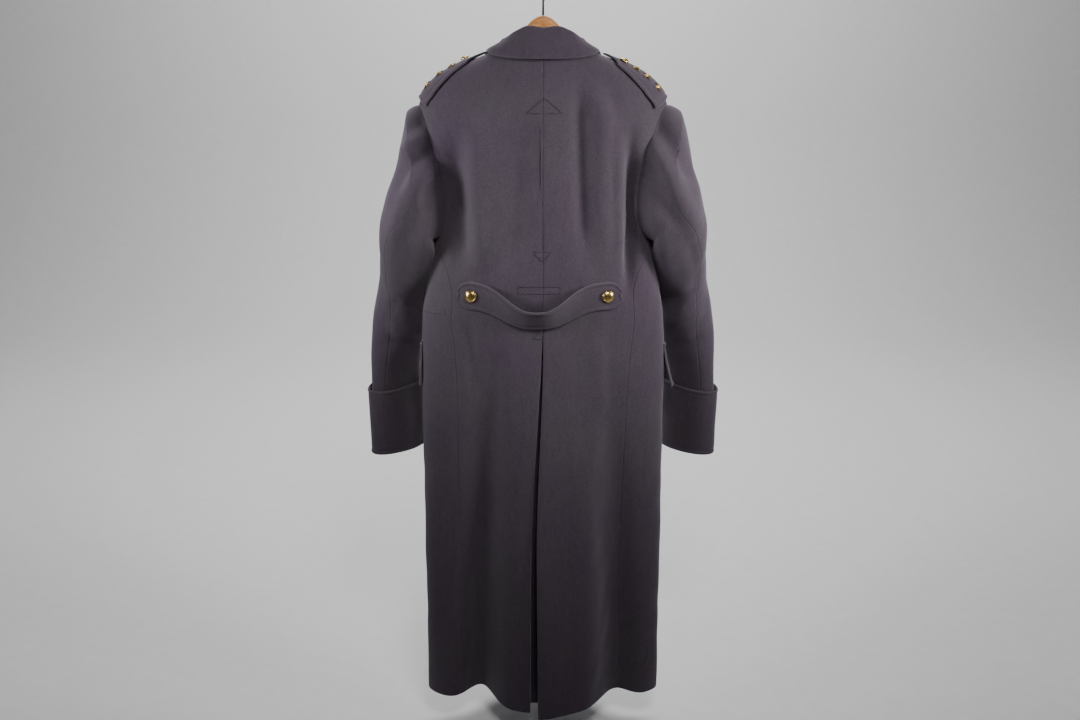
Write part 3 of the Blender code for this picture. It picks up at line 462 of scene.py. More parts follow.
def smooth(at, places, values):
    """Cubic through a table that never overshoots: each slope is the harmonic mean of its neighbours'."""
    step = np.diff(places)
    rise = np.diff(values) / step
    slope = np.concatenate(([rise[0]], np.zeros(len(step) - 1), [rise[-1]]))
    product = rise[:-1] * rise[1:]
    total = np.where(product > 0, rise[:-1] + rise[1:], 1.0)
    slope[1:-1] = np.where(product > 0, 2 * product / total, 0.0)
    at = np.clip(at, places[0], places[-1])
    k = np.clip(np.searchsorted(places, at) - 1, 0, len(step) - 1)
    t = (at - places[k]) / step[k]
    keep = values[k] * (1 - t) ** 2 * (1 + 2 * t) + values[k + 1] * t**2 * (3 - 2 * t)
    return keep + step[k] * (slope[k] * t * (1 - t) ** 2 - slope[k + 1] * t**2 * (1 - t))


def table_at(at, rows, columns, name):
    """A named column of a table at any value of its first column, by the smooth cubic."""
    return smooth(at, column(rows, columns, columns[0]), column(rows, columns, name))


def clamp(value):
    """A value kept between 0 and 1."""
    return np.clip(value, 0.0, 1.0)


def bell(value):
    """A bell curve: 1 at 0, by the exponential of the negative square."""
    return np.exp(-(value**2))


def ramp(value, start, end):
    """Smooth step from 0 at start to 1 at end: 3t squared less 2t cubed."""
    t = clamp((value - start) / (end - start))
    return t * t * (3 - 2 * t)


def power(value, exponent):
    """A power that keeps the sign of its base."""
    return np.sign(value) * np.abs(value) ** exponent


def lerp(a, b, t):
    """Straight blend from a at 0 to b at 1."""
    return a + (b - a) * t


def stack(x, y, z):
    """Points from their three coordinates."""
    return np.stack(np.broadcast_arrays(x, y, z), axis=-1)


def unit(vectors):
    """Vectors divided by their lengths."""
    return vectors / np.maximum(np.linalg.norm(vectors, axis=-1, keepdims=True), 1e-12)


def body_column(name, height):
    """A column of the body table at any height."""
    return table_at(height, BODY_ROWS, BODY_COLUMNS, name)


def fold_offset(x, height, facing, side):
    """Sum of the folds on the back or the front, each a bell across and a slow rise down its length."""
    total = np.zeros_like(x)
    for fold in named(FOLD_ROWS, FOLD_COLUMNS):
        if fold["side"] not in ("both", side):
            continue
        down = ramp(-height, -fold["top"], -fold["full"])
        fade = 1 - ramp(-height, -fold["full"], -fold["bottom"])
        centre = lerp(fold["x_top"], fold["x_hem"], down)
        across = bell((x - centre) / fold["width"])
        on_face = facing if fold["face"] == "back" else -facing
        total += np.where(on_face > 0, 1, 0) * np.sign(facing) * fold["depth"] * down * fade * across
    return total


def lean(height):
    """How far the centre back leans aside, by a smooth step down the skirt."""
    return LEAN_HEM * ramp(-height, -LEAN_TOP, -LEAN_FULL)


def body_plain(angle, height, side):
    """Point of the body at an angle from the centre back: a squared ellipse with folds and a slight lean."""
    half_width = body_column("half_width", height)
    exponent = 2 / body_column("squareness", height)
    sine, facing = np.sin(angle), np.cos(angle)
    x = half_width * power(sine, exponent)
    depth = np.where(facing > 0, body_column("back", height), body_column("front", height))
    near_face = ramp(np.abs(facing), 0.0, FOLD_FADE)
    y = body_column("middle_y", height) - depth * power(facing, exponent)
    y = y + fold_offset(x, height, facing, side) * near_face
    x = x + np.where(facing > 0, lean(height) * (1 - np.abs(x) / half_width), 0.0)
    return stack(x, y, height)


def body(angle, height, side, out=0.0):
    """Point of the body moved out along its normal, the cross product of two short steps on it."""
    angle, height = np.broadcast_arrays(np.asarray(angle, float), np.asarray(height, float))
    step = NORMAL_STEP
    point = body_plain(angle, height, side)
    across = body_plain(angle + step, height, side) - body_plain(angle - step, height, side)
    upward = body_plain(angle, height + step, side) - body_plain(angle, height - step, side)
    return point + unit(np.cross(across, upward)) * np.asarray(out)[..., None]


def angle_at_x(x, height):
    """Angle on the back where the plain section reaches x: the arc sine of a power of its share."""
    share = clamp(np.abs(x) / body_column("half_width", height))
    return np.sign(x) * np.arcsin(share ** (body_column("squareness", height) / 2))


def armhole(turn, side):
    """Angle and height on the armhole: a cosine down from the shoulder tip, swept to both sides by sines."""
    sine = np.abs(np.sin(turn))
    behind = -np.radians(ARM_BACK_DEGREES[side]) * sine**ARM_BACK_FULLNESS
    before = np.radians(ARM_FRONT_DEGREES) * sine**ARM_FRONT_FULLNESS
    angle = lerp(math.pi / 2, ARM_JOIN_ANGLE, np.abs(turn) / math.pi) + np.where(turn > 0, behind, before)
    return angle, lerp(SHOULDER_TIP, ARM_JOIN, (1 - np.cos(turn)) / 2)


def seam_angle(height):
    """Angle of the side seam at a height, from its table."""
    return np.radians(table_at(height, SEAM_ROWS, SEAM_COLUMNS, "degrees"))


def back_edge_angle(height, side):
    """Outer edge of a back half: shoulder seam, armhole, side seam."""
    share = clamp((SHOULDER_TIP - height) / (SHOULDER_TIP - ARM_JOIN))
    arm_angle, _ = armhole(np.arccos(1 - 2 * share), side)
    angle = np.where(height > SHOULDER_TIP, math.pi / 2, arm_angle)
    return np.where(height < ARM_JOIN, seam_angle(height), angle) - SEAM_ANGLE


def hem_height(angle):
    """The hem drops towards the centre back by a cubed cosine."""
    return HEM_SIDE - HEM_CENTRE_DROP * clamp(np.cos(angle)) ** 3


def arm_share(share):
    """Share of the armhole's height at each row beside it: a power draws the rows together at its foot."""
    return 1 - (1 - clamp(share)) ** ARM_SPACING


def fold_angle(height):
    """Angle of the centre-back fold, which opens as a slit by a power of the depth below the belt."""
    share = clamp((PLEAT_TOP - height) / (PLEAT_TOP - HEM_SIDE)) ** PLEAT_OPENING
    return angle_at_x((PLEAT_SLIT * share + CLOTH - SEAM_PRESSED * (1 - share)) / 2, height)


def return_depth(height):
    """How far the cloth turns in at the centre back: a seam's width above, a pleat below the belt."""
    return lerp(RETURN_SEAM, RETURN_SKIRT, ramp(-height, -PLEAT_TOP, RETURN_FULL - PLEAT_TOP))


def back_half(u, v, side):
    """A back half: two branches of a hyperbola blend the pleat's return into the body round the fold."""
    beyond = u - RETURN_SHARE
    soft = np.sqrt(beyond**2 + FOLD_ROUND**2)
    out = clamp((soft + beyond) / 2 / (1 - RETURN_SHARE))
    inward = (soft - beyond) / 2 / RETURN_SHARE
    shoulder_end, arm_end = BACK_SHARES
    neck = lerp(NECK_BACK, NECK_POINT, out**2)
    shoulder = lerp(neck, SHOULDER_TIP, clamp(v / shoulder_end))
    arm = lerp(SHOULDER_TIP, ARM_JOIN, arm_share((v - shoulder_end) / (arm_end - shoulder_end)))
    skirt = lerp(ARM_JOIN, hem_height(out * HEM_SEAM_ANGLE), clamp((v - arm_end) / (1 - arm_end)))
    height = np.where(v < shoulder_end, shoulder, np.where(v < arm_end, arm, skirt))
    angle = SIDES[side] * lerp(fold_angle(height), back_edge_angle(height, side), out)
    return body_plain(angle, height, side) + stack(0.0, return_depth(height) * inward, 0.0)


def skirt_underlay(u, v):
    """The underlay of the pleat: a strip just behind the ends of both returns."""
    height = lerp(ARM_JOIN, hem_height(0.0), lerp(UNDERLAY_FIRST, 1.0, v))
    ends = [body(sign * fold_angle(height), height, side)[..., 1] for side, sign in SIDES.items()]
    x = lean(height) + lerp(-UNDERLAY_HALF_WIDTH, UNDERLAY_HALF_WIDTH, u)
    return stack(x, np.maximum(*ends) + return_depth(height) + CLOTH / 2 + UNDERLAY_GAP, height)


def roll_line(share):
    """The fold of a lapel: its x on its own side and its height, straight from the neck to the break."""
    return lerp(ROLL_X, BREAK_X, share), lerp(NECK_POINT, BREAK_HEIGHT, share)


def lap_out(side, angle, height):
    """Below the lapels the left front lies over the right one: how far each moves off their surface."""
    below = ramp(-height, -LAP_TOP, -LAP_BOTTOM)
    return -SIDES[side] * LAP * ramp(np.abs(angle), LAP_START, LAP_FULL) * below


def front(u, v, side):
    """A front: angle and height blended from the armhole and side seam to the roll line and front edge."""
    arm_end = FRONT_ARM_SHARE
    beside_arm = clamp(v / arm_end)
    skirt_share = clamp((v - arm_end) / (1 - arm_end))
    arm_angle, arm_height = armhole(-np.arccos(1 - 2 * arm_share(beside_arm)), side)
    seam_height = lerp(ARM_JOIN, hem_height(HEM_SEAM_ANGLE), skirt_share)
    below = v > arm_end
    start_height = np.where(below, seam_height, arm_height)
    start_angle = np.where(below, seam_angle(seam_height), arm_angle) + SEAM_ANGLE
    roll_x, roll_height = roll_line(beside_arm)
    edge_x = lerp(BREAK_X, -OVERLAP_X, ramp(skirt_share, 0.0, EDGE_TURN))
    edge_height = lerp(ARM_JOIN, HEM_SIDE, skirt_share) + (BREAK_HEIGHT - ARM_JOIN) * (1 - skirt_share) ** 3
    end_x = np.where(below, edge_x, roll_x)
    end_height = np.where(below, edge_height, roll_height)
    angle = lerp(start_angle, math.pi - angle_at_x(end_x, end_height), u)
    height = lerp(start_height, end_height, u ** (1 + beside_arm))
    return body(SIDES[side] * angle, height, side, lap_out(side, angle, height))


def lapel(u, v, side):
    """A lapel: laid on its front from the roll line to its outer edge, lifted between by a sine."""
    roll_x, roll_height = roll_line(lerp(LAPEL_TOP_SHARE, LAPEL_BOTTOM_SHARE, v))
    width = table_at(v, LAPEL_ROWS, LAPEL_COLUMNS, "width")
    rise = table_at(v, LAPEL_ROWS, LAPEL_COLUMNS, "rise")
    height = roll_height + rise * u
    angle = math.pi - angle_at_x(roll_x + width * u, height)
    lift = CLOTH + LAPEL_GAP + LAPEL_LIFT * np.sin(math.pi * u)
    return body(SIDES[side] * angle, height, side, lap_out(side, angle, height) + lift)


def collar(u, v):
    """The collar: a smooth curve through stand, roll, belly and leaf, carried round the neck."""
    around = 2 * u - 1
    sign = np.where(around < 0, -1.0, 1.0)
    share = np.abs(around)
    at = {name: table_at(share, COLLAR_ROWS, COLLAR_COLUMNS, name) for name in COLLAR_COLUMNS}
    base = body(sign * np.radians(at["base_degrees"]), at["base_z"] + COLLAR_LIFT, "right")
    forward = ramp(share, *COLLAR_FORWARD)
    draw_in = lerp(*COLLAR_BASE_SHARES, forward)
    base = base * stack(draw_in, draw_in, 1.0)
    leaf = body(sign * np.radians(at["leaf_degrees"]), at["leaf_z"], "right", COLLAR_LEAF_OUT)
    flat = np.array((1.0, 1.0, 0.0))
    outward = unit((leaf - base) * flat)
    roll_out = lerp(*COLLAR_ROLL_OUTS, forward)
    roll = body(sign * np.radians(at["base_degrees"]), at["base_z"], "right", roll_out)
    roll = roll * flat + stack(0.0, 0.0, at["roll_z"])
    bend = COLLAR_ROLL_RADIUS * (outward - np.array((0.0, 0.0, 1.0)))
    back_bend = COLLAR_ROLL_RADIUS * (-outward - np.array((0.0, 0.0, 1.0)))
    belly = lerp(roll + bend, leaf, COLLAR_BELLY_SHARE) + outward * COLLAR_BELLY
    profile = np.stack((base, roll + back_bend, roll, roll + bend, belly, leaf))
    return spline(profile, np.array(COLLAR_KNOTS), v)


def spline(profile, knots, v):
    """Cubic through points at their knots: each slope is that of the line through its neighbours."""
    gap = (knots[2:] - knots[:-2])[:, None, None, None]
    middle = (profile[2:] - profile[:-2]) / gap
    first = (profile[1:2] - profile[:1]) / (knots[1] - knots[0])
    last = (profile[-1:] - profile[-2:-1]) / (knots[-1] - knots[-2])
    slope = np.concatenate((first, middle, last))
    k = np.clip(np.searchsorted(knots, v, side="right") - 1, 0, len(knots) - 2)
    step = (knots[k + 1] - knots[k])[..., None]
    t = (v - knots[k])[..., None] / step
    rows, columns = np.indices(v.shape)
    start, end = profile[k, rows, columns], profile[k + 1, rows, columns]
    leave, arrive = slope[k, rows, columns] * step, slope[k + 1, rows, columns] * step
    straight = start * (1 - t) ** 2 * (1 + 2 * t) + end * t**2 * (3 - 2 * t)
    return straight + leave * t * (1 - t) ** 2 - arrive * t**2 * (1 - t)


def sleeve_ends(along, side):
    """Outer and inner end of a sleeve's ring and half its depth, by table; a bell draws in its head."""
    value = {name: table_at(along, SLEEVE_ROWS, SLEEVE_COLUMNS, name) for name in SLEEVE_COLUMNS}
    drawn_in = HEAD_DRAWN_IN[side] * bell((along - HEAD_AT) / HEAD_LENGTH)
    outer = stack(value["outer_x"] - drawn_in, value["outer_y"], value["outer_z"])
    inner = stack(value["inner_x"], value["inner_y"], value["inner_z"])
    return outer, inner, value["half_depth"]


def sleeve_point(turn, along, side, out=0.0):
    """Point of a sleeve: an ellipse about the line between its outer and inner ends, blended into the
    armhole. Before its start it is tucked into the body, as a seam allowance is."""
    sign = SIDES[side]
    mirror = np.array((sign, 1.0, 1.0))
    outer, inner, half_depth = sleeve_ends(along, side)
    ahead_outer, ahead_inner, _ = sleeve_ends(along + AXIS_STEP, side)
    behind_outer, behind_inner, _ = sleeve_ends(along - AXIS_STEP, side)
    axis = ahead_outer + ahead_inner - behind_outer - behind_inner
    long_half = (outer - inner) / 2
    across = unit(np.cross(axis, long_half))
    across = unit(lerp(np.array((0.0, -1.0, 0.0)), across, ramp(along, *ACROSS_TURNS)[..., None]))
    across = across * half_depth[..., None]
    cosine, sine = np.cos(turn)[..., None], np.sin(turn)[..., None]
    ring = (outer + inner) / 2 + long_half * cosine + across * sine
    long_length = np.linalg.norm(long_half, axis=-1)[..., None]
    outward = unit(long_half * cosine / long_length**2 + across * sine / half_depth[..., None] ** 2)
    loop_turn = (turn + math.pi) % (2 * math.pi) - math.pi
    arm_angle, arm_height = armhole(loop_turn, side)
    loop = body(sign * arm_angle, arm_height, side) * mirror + ARM_GAP * np.array(ARM_OUT)
    share = ramp(along, 0.0, lerp(*SLEEVE_BLENDS, (1 - np.cos(turn)) / 2))[..., None]
    lift = outward * np.broadcast_to(out, turn.shape)[..., None]
    tuck = np.minimum(along, 0.0)[..., None] * np.array(ARM_OUT)
    return (lerp(loop, ring, share) + lift + tuck) * mirror


def hind_seam(along):
    """Turn of the hind-arm seam, from its table."""
    return np.radians(table_at(along, HIND_ROWS, HIND_COLUMNS, "degrees"))


def top_sleeve(u, v, side):
    """A top sleeve: turns from the fore-arm seam, over the outside, to the hind-arm seam."""
    along = lerp(-SLEEVE_TUCK, SLEEVE_END, v)
    return sleeve_point(lerp(FORE_SEAM + SLEEVE_SEAM, hind_seam(along) - SLEEVE_SEAM, u), along, side)


def under_sleeve(u, v, side):
    """An under sleeve: turns from the hind-arm seam, past the body, to the fore-arm seam."""
    along = lerp(-SLEEVE_TUCK, SLEEVE_END, v)
    last = 2 * math.pi + FORE_SEAM - SLEEVE_SEAM
    return sleeve_point(lerp(hind_seam(along) + SLEEVE_SEAM, last, u), along, side)


def cuff(u, v, side):
    """A turned-back cuff: a strip wrapped round the sleeve's end that stands off it more towards its top
    edge, which rises by a cosine towards the body."""
    turn = lerp(CUFF_SEAM + SLEEVE_SEAM, CUFF_SEAM + 2 * math.pi - SLEEVE_SEAM, u)
    out = lerp(CUFF_OUT_TOP, CUFF_OUT_BOTTOM, v**CUFF_FLARE)
    top = CUFF_TOP - CUFF_TILT * (1 - np.cos(turn)) / 2
    return sleeve_point(turn, lerp(top, 1.0, v), side, out)


def ridge_height(x):
    """Height of the shoulder ridge at x: the body's width read the other way round."""
    heights = column(BODY_ROWS, BODY_COLUMNS, "height")
    widths = column(BODY_ROWS, BODY_COLUMNS, "half_width")
    on_ridge = heights >= SHOULDER_TIP
    return smooth(x, widths[on_ridge][::-1], heights[on_ridge][::-1])


def shoulder_point(side, x, off_ridge, out):
    """Point on the shoulder, off_ridge metres behind (below 0) or before the ridge, on a hyperbola."""
    height = ridge_height(x) - STRAP_FALL * (np.hypot(off_ridge, STRAP_RIDGE) - STRAP_RIDGE)
    depth = np.where(off_ridge < 0, body_column("back", height), body_column("front", height))
    share = (np.abs(off_ridge) / depth) ** (body_column("squareness", height) / 2)
    angle = math.pi / 2 + np.sign(off_ridge) * np.arcsin(share)
    return body(SIDES[side] * angle, height, side, out)


def shoulder_strap(u, v, side):
    """A shoulder strap: wide at the sleeve, pointed by the collar."""
    half = lerp(*STRAP_HALF_WIDTH, v)
    half = half * lerp(1.0, STRAP_TIP, clamp((v - STRAP_POINT) / (1 - STRAP_POINT)))
    x = lerp(STRAP_OUTER_X, STRAP_INNER_X, v)
    off_ridge = (2 * u - 1) * half - STRAP_BACK[side]
    return shoulder_point(side, x, off_ridge, LAID_ON + STRAP_GAP + STRAP_CLOTH / 2)


def belt_point(x, across, out=0.0):
    """Point of the half belt: it sags, bows out and tips forward in the middle, by a bell over x."""
    sag = np.exp(-(np.abs((x - BELT_SAG_X) / BELT_SAG_WIDTH) ** BELT_SAG_POWER))
    tilt = BELT_TILT * sag
    height = BELT_HEIGHT - BELT_SAG * sag + across * np.cos(tilt)
    lift = LAID_ON + BELT_GAP + BELT_CLOTH / 2 + out
    surface = body(angle_at_x(x + BELT_CENTRE_X, height), height, "right", lift)
    return surface - stack(0.0, BELT_BOW * sag + across * np.sin(tilt), 0.0)


def half_belt(u, v):
    """The half belt: its ends are rounded by part of an ellipse."""
    along = 2 * u - 1
    end = clamp((np.abs(along) - BELT_ROUND) / (1 - BELT_ROUND))
    half = BELT_HALF_WIDTH * np.sqrt(1 - BELT_END * end**2)
    return belt_point(along * BELT_HALF_LENGTH, (1 - 2 * v) * half)


def pocket_flap(u, v, side):
    """A pocket flap: sewn along its top edge, standing off the skirt at its lower edge."""
    angle = np.radians(lerp(*FLAP_DEGREES, u))
    height = FLAP_TOP - FLAP_DEPTH * v
    out = LAID_ON + CLOTH / 2 + FLAP_STAND_OFF[side] * v**FLAP_BEND
    return body(SIDES[side] * angle, height, side, lap_out(side, angle, height) + out)


def hip_welt(u, v):
    """The welt of the slit at the left hip."""
    angle = np.radians(lerp(*WELT_DEGREES, u))
    height = WELT_HEIGHT + lerp(WELT_HALF_HEIGHT, -WELT_HALF_HEIGHT, v)
    return body(-angle, height, "left", LAID_ON + WELT_GAP + WELT_CLOTH / 2)


def spaced(count, tight):
    """Shares from 0 to 1, closer together at both ends: an even step less part of a sine."""
    even = np.linspace(0.0, 1.0, count + 1)
    return even - tight * np.sin(2 * math.pi * even) / (2 * math.pi)


def cloth_grid(piece, tight_across=TIGHT_ACROSS):
    """Both parameters of a panel's grid, with rows from its top edge to its lower edge."""
    columns, rows = GRIDS[piece]
    return np.meshgrid(spaced(columns, tight_across), spaced(rows, TIGHT_DOWN))


def lengths(points, axis):
    """Length along a grid's lines: the running sum of the steps between points."""
    step = np.linalg.norm(np.diff(points, axis=axis), axis=-1)
    start = np.zeros_like(np.take(step, [0], axis=axis))
    return np.concatenate((start, np.cumsum(step, axis=axis)), axis=axis)


def outward_normals(points, sign):
    """Unit normals of a grid: the cross product of its two gradients, turned by a sign."""
    return sign * unit(np.cross(np.gradient(points, axis=1), np.gradient(points, axis=0)))


def edge_distance(across, down):
    """Distance to the nearest edge of a panel, from the lengths along its lines."""
    sides = np.minimum(across, across[:, -1:] - across)
    return np.minimum(sides, np.minimum(down, down[-1:] - down))


def crease_relief(points, rows):
    """Height of creases: each is a bell across a bowed line in x and z that fades at its ends."""
    relief = np.zeros(points.shape[:2])
    for crease in named(rows, CREASE_COLUMNS):
        start = np.array((crease["x_start"], crease["z_start"]))
        run = np.array((crease["x_end"], crease["z_end"])) - start
        length = np.hypot(*run)
        apart = points[..., (0, 2)] - start
        share = apart @ run / length**2
        off = (apart[..., 0] * run[1] - apart[..., 1] * run[0]) / length
        off = off - crease["bow"] * np.sin(math.pi * clamp(share))
        fade = ramp(share, -CREASE_ENDS, CREASE_ENDS) * (1 - ramp(share, 1 - CREASE_ENDS, 1 + CREASE_ENDS))
        relief -= crease["depth"] * bell(off / crease["width"]) * fade
    return relief


def ripple_relief(points):
    """Uneven handling of the cloth: a sum of crossing sines over all three coordinates."""
    relief = np.zeros(points.shape[:2])
    for ripple in named(RIPPLES, RIPPLE_COLUMNS):
        level = ripple["per_metre_x"] * (points[..., 0] + points[..., 1])
        phase = level + ripple["per_metre_z"] * points[..., 2]
        relief += ripple["height"] * np.sin(phase + np.sin(phase * RIPPLE_WAVER))
    return relief


def pucker_relief(points):
    """Small puckers along the side edges: a wavering sine down the seam that dies away from it."""
    across, down = lengths(points, 1), lengths(points, 0)
    side = np.minimum(across, across[:, -1:] - across)
    waver = PUCKER_WAVER * np.sin(down * PUCKER_WAVER_RATE)
    wave = np.sin(2 * math.pi * down / PUCKER_STEP + waver)
    return PUCKER_HEIGHT * wave * np.exp(-side / PUCKER_REACH) * ramp(side, 0.0, EDGE_ROUND)


def quads(index, turned):
    """Four-sided faces of a grid of vertex numbers."""
    first, second, third, fourth = index[:-1, :-1], index[:-1, 1:], index[1:, 1:], index[1:, :-1]
    corners = (first, fourth, third, second) if turned else (first, second, third, fourth)
    return np.stack(corners, axis=-1).reshape(-1, 4)


def put_mesh(name, points, faces, finish, uv=None, edge=None):
    """An object of four-sided faces, three-sided at the middles of round ends, with a UV map in metres and
    the distance from the edge as an attribute."""
    mesh = bpy.data.meshes.new(name)
    corners = faces != np.roll(faces, 1, axis=1)
    loops = faces[corners]
    used, loops = np.unique(loops, return_inverse=True)
    mesh.vertices.add(len(used))
    mesh.vertices.foreach_set("co", np.ascontiguousarray(points[used], np.float32).ravel())
    mesh.loops.add(len(loops))
    mesh.loops.foreach_set("vertex_index", np.ascontiguousarray(loops, np.int32))
    mesh.polygons.add(len(faces))
    starts = np.concatenate(([0], np.cumsum(corners.sum(axis=1))[:-1]))
    mesh.polygons.foreach_set("loop_start", np.ascontiguousarray(starts, np.int32))
    mesh.update(calc_edges=True)
    if uv is not None:
        layer = mesh.uv_layers.new(name="cloth")
        layer.data.foreach_set("uv", np.ascontiguousarray(uv[used][loops], np.float32).ravel())
    if edge is not None:
        attribute = mesh.attributes.new("edge", "FLOAT", "POINT")
        attribute.data.foreach_set("value", np.ascontiguousarray(edge[used], np.float32))
    mesh.shade_smooth()
    mesh.materials.append(finish)
    made = bpy.data.objects.new(name, mesh)
    bpy.context.scene.collection.objects.link(made)
    return made


def dress(made, node):
    """Puts a finished piece on the frame in place of a solid."""
    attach(made, "root")
    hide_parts(node)
    return made


def make_shell(node, middle, sign, thickness, finish, relief=0.0, turned_edge=False):
    """A closed wall of cloth on a grid: both faces lie half its thickness off the middle, and meet at the
    edges along a quarter of an ellipse. A turned edge has a bead, and a groove where it is stitched."""
    middle = middle + outward_normals(middle, sign) * np.broadcast_to(relief, middle.shape[:2])[..., None]
    normal = outward_normals(middle, sign)
    across, down = lengths(middle, 1), lengths(middle, 0)
    edge = edge_distance(across, down)
    rim = TURNED_ROUND if turned_edge else EDGE_ROUND
    half = thickness / 2 * np.sqrt(1 - clamp(1 - edge / rim) ** 2)
    lift = half.copy()
    if turned_edge:
        lift += BEAD_HEIGHT * bell((edge - BEAD_AT) / BEAD_WIDTH) * ramp(edge, 0.0, rim)
        lift -= STITCH_GROOVE * bell((edge - STITCH_AT) / STITCH_GROOVE_WIDTH)
    inside = np.zeros(edge.shape, bool)
    inside[1:-1, 1:-1] = True
    outer_index = np.arange(edge.size).reshape(edge.shape)
    inner_index = outer_index.copy()
    inner_index[inside] = edge.size + np.arange(inside.sum())
    outer = middle + normal * lift[..., None]
    inner = middle - normal * half[..., None]
    points = np.concatenate((outer.reshape(-1, 3), inner[inside]))
    faces = np.concatenate((quads(outer_index, sign < 0), quads(inner_index, sign > 0)))
    flat = np.stack((across, down), axis=-1)
    uv = np.concatenate((flat.reshape(-1, 2), flat[inside]))
    rubbed = edge if turned_edge else np.ones_like(edge)
    edges = np.concatenate((rubbed.ravel(), rubbed[inside]))
    made = dress(put_mesh(node + "_cloth", points, faces, finish, uv, edges), node)
    return outer, normal


def armhole_fade(points, side):
    """Creases die away towards the armhole: a smooth step of the distance to its nearest point."""
    angle, height = armhole(np.linspace(-math.pi, math.pi, ARMHOLE_POINTS), side)
    line = body_plain(SIDES[side] * angle, height, side)
    apart = np.linalg.norm(points[..., None, :] - line, axis=-1).min(axis=-1)
    return ramp(apart, 0.0, CREASE_FADE)


def facing_back(points, sign):
    """Share by which a grid faces the back: a smooth step of its normal's -Y."""
    return ramp(-outward_normals(points, sign)[..., 1], 0.0, FACING_FULL)


def make_backs(wool):
    """Both halves of the back, with the creases above and below the belt, and the underlay."""
    made = []
    for side, sign in SIDES.items():
        middle = back_half(*cloth_grid("back"), side)
        weight = facing_back(middle, -sign) * armhole_fade(middle, side)
        creased = crease_relief(middle, BACK_CREASES) + ripple_relief(middle)
        relief = creased * weight + pucker_relief(middle)
        made.append(make_shell("back_" + side, middle, -sign, CLOTH, wool, relief))
    middle = skirt_underlay(*cloth_grid("underlay"))
    make_shell("skirt_pleat_underlay", middle, -1.0, CLOTH, wool)
    return made


def make_fronts(wool):
    """Both fronts with their lapels."""
    for side, sign in SIDES.items():
        middle = front(*cloth_grid("front"), side)
        fade = armhole_fade(middle, side)
        relief = crease_relief(middle, FRONT_CREASES) * facing_back(middle, sign)
        relief = relief + crease_relief(middle, BACK_CREASES) * facing_back(middle, -sign)
        relief = (relief + ripple_relief(middle)) * fade + pucker_relief(middle)
        make_shell("front_" + side, middle, -sign, CLOTH, wool, relief)
        middle = lapel(*cloth_grid("lapel"), side)
        make_shell("lapel_" + side, middle, sign, CLOTH, wool, turned_edge=True)


def make_sleeves(wool):
    """Both sleeves in two pieces each, creased below the shoulder and at the elbow, and their cuffs."""
    for side, sign in SIDES.items():
        for piece, surface in (("top_sleeve", top_sleeve), ("under_sleeve", under_sleeve)):
            middle = surface(*cloth_grid(piece), side)
            behind = lerp(CREASE_FORE_SHARE, 1.0, facing_back(middle, sign))
            relief = crease_relief(middle, SLEEVE_CREASES[side]) * behind + ripple_relief(middle)
            relief = relief * ramp(lengths(middle, 0), 0.0, CREASE_FADE) + pucker_relief(middle)
            make_shell(piece + "_" + side, middle, sign, CLOTH, wool, relief)
        middle = cuff(*cloth_grid("cuff"), side)
        relief = ripple_relief(middle)
        make_shell("cuff_" + side, middle, sign, CLOTH, wool, relief, True)


def make_collar(wool):
    """The collar, with a stitched edge."""
    middle = collar(*cloth_grid("collar", COLLAR_TIGHT))
    make_shell("collar", middle, 1.0, CLOTH, wool, ripple_relief(middle), True)


def make_straps(wool):
    """Both shoulder straps, with stitched edges."""
    for side, sign in SIDES.items():
        middle = shoulder_strap(*cloth_grid("strap"), side)
        make_shell("shoulder_strap_" + side, middle, sign, STRAP_CLOTH, wool, turned_edge=True)


def make_belt(wool):
    """The half belt, with stitched edges."""
    middle = half_belt(*cloth_grid("belt"))
    make_shell("half_belt", middle, -1.0, BELT_CLOTH, wool, turned_edge=True)


def make_pockets(wool):
    """The pocket flaps and the welt at the left hip."""
    for side, sign in SIDES.items():
        middle = pocket_flap(*cloth_grid("flap"), side)
        make_shell("pocket_flap_" + side, middle, -sign, CLOTH, wool, turned_edge=True)
    middle = hip_welt(*cloth_grid("welt"))
    make_shell("hip_welt_left", middle, 1.0, WELT_CLOTH, wool)


def round_piece(rings):
    """A closed solid of rings: neighbouring rings are joined, and both ends run in to their middles."""
    first = np.broadcast_to(rings[:1].mean(axis=1, keepdims=True), rings[:1].shape)
    last = np.broadcast_to(rings[-1:].mean(axis=1, keepdims=True), rings[:1].shape)
    points = np.concatenate((first, rings, last))
    index = np.arange(points.shape[0] * points.shape[1]).reshape(points.shape[:2])
    index[0], index[-1] = index[0, 0], index[-1, 0]
    index = np.concatenate((index, index[:, :1]), axis=1)
    return points.reshape(-1, 3), quads(index, True)


def tube(path, radius, sides):
    """A round tube with closed ends: circles of the radius about a path, square to it."""
    along = unit(np.gradient(path, axis=0))
    steep = np.abs(along[:, 1:2]) > TUBE_STEEP
    guide = np.where(steep, np.array((1.0, 0.0, 0.0)), np.array((0.0, 1.0, 0.0)))
    across = unit(np.cross(along, guide))
    beside = np.cross(across, along)
    turn = np.linspace(0.0, 2 * math.pi, sides, endpoint=False)
    ring = across[:, None] * np.cos(turn)[:, None] + beside[:, None] * np.sin(turn)[:, None]
    return round_piece(path[:, None] + ring * radius)


